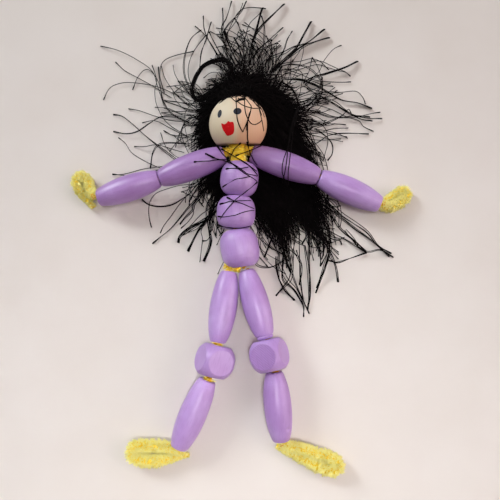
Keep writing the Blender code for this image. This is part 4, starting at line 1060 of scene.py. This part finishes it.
# Floor, light and camera: a plain pale floor under a large soft lamp at the upper left and an even sky,
# seen from above as the doll lies, a little towards its feet.
floor_paint, shader, tree = finish_tree("pale_matt_floor", Roughness=0.9)
place = add(tree, "ShaderNodeTexCoord")
speck = noise(tree, place.outputs["Object"], 40.0, 3.0)
connect(tree, shader, Base_Color=ramp(tree, speck, (0.3, "#DFD7D0"), (0.7, "#E3DCD6")))
FLOOR_TOP = -0.1 * MM
ground = bpy.data.meshes.new("floor")
corners = [(x, y, FLOOR_TOP) for x, y in ((-1, -1), (1, -1), (1, 1), (-1, 1))]
ground.from_pydata(corners, [], [(0, 1, 2, 3)])
ground.materials.append(floor_paint)
floor = bpy.data.objects.new("floor", ground)
bpy.context.scene.collection.objects.link(floor)

LAMPS = (  # name, place, y that it points at, size, power in W, tint, spread in degrees
    ("window", (-0.72, 0.55, 0.55), -0.02, 0.35, 7.5, (0.9, 0.96, 1.0), 180),
    ("skylight", (0.1, 0.8, 0.8), -0.02, 0.6, 2.0, (0.97, 0.98, 1.0), 180),
    ("wall", (0.9, -0.1, 0.5), -0.02, 0.8, 6.5, (1.0, 0.86, 0.84), 180),
    ("pool", (0.05, -0.15, 0.9), -0.15, 0.2, 0.14, (1.0, 0.98, 0.98), 28),
)
for name, place, target, size, power, tint, spread in LAMPS:
    lamp = bpy.data.lights.new(name, "AREA")
    lamp.shape, lamp.size, lamp.energy, lamp.color = "SQUARE", size, power, tint
    lamp.spread = math.radians(spread)
    lamp_object = bpy.data.objects.new(name, lamp)
    lamp_object.location = place
    x, y, z = np.array((0.0, target, 0.0)) - np.array(place)
    lamp_object.rotation_euler = (math.acos(-z / math.hypot(x, y, z)), 0, math.atan2(y, x) - math.pi / 2)
    bpy.context.scene.collection.objects.link(lamp_object)
SKY_LIGHT, SKY_SEEN = 0.06, 0.6  # strength as light, and as the pale backdrop that the eye and reflections see
sky = bpy.data.worlds.new("even_sky")
sky.use_nodes = True
tree = sky.node_tree
backdrop = tree.nodes["Background"]
backdrop.inputs["Color"].default_value = linear("#FFF1E8")
ray = add(tree, "ShaderNodeLightPath")
seen = ray.outputs["Is Camera Ray"]
for kind in ("Is Glossy Ray", "Is Transmission Ray"):
    seen = add(tree, "ShaderNodeMath", links={0: seen, 1: ray.outputs[kind]}, operation="MAXIMUM").outputs["Value"]
strength = add(tree, "ShaderNodeMapRange", {"To Min": SKY_LIGHT, "To Max": SKY_SEEN}, {"Value": seen})
connect(tree, backdrop, Strength=strength.outputs["Result"])
bpy.context.scene.world = sky

lens = bpy.data.cameras.new("camera")
lens.lens, lens.sensor_width, lens.sensor_fit, lens.clip_start = 40.32, 36.0, "HORIZONTAL", 0.005
camera = bpy.data.objects.new("camera", lens)
camera.location = (0.00313, -0.05463, 0.17861)
camera.rotation_euler = (math.radians(8.205), 0, 0)
bpy.context.scene.collection.objects.link(camera)
bpy.context.scene.camera = camera
bpy.context.scene.view_settings.view_transform = "Standard"
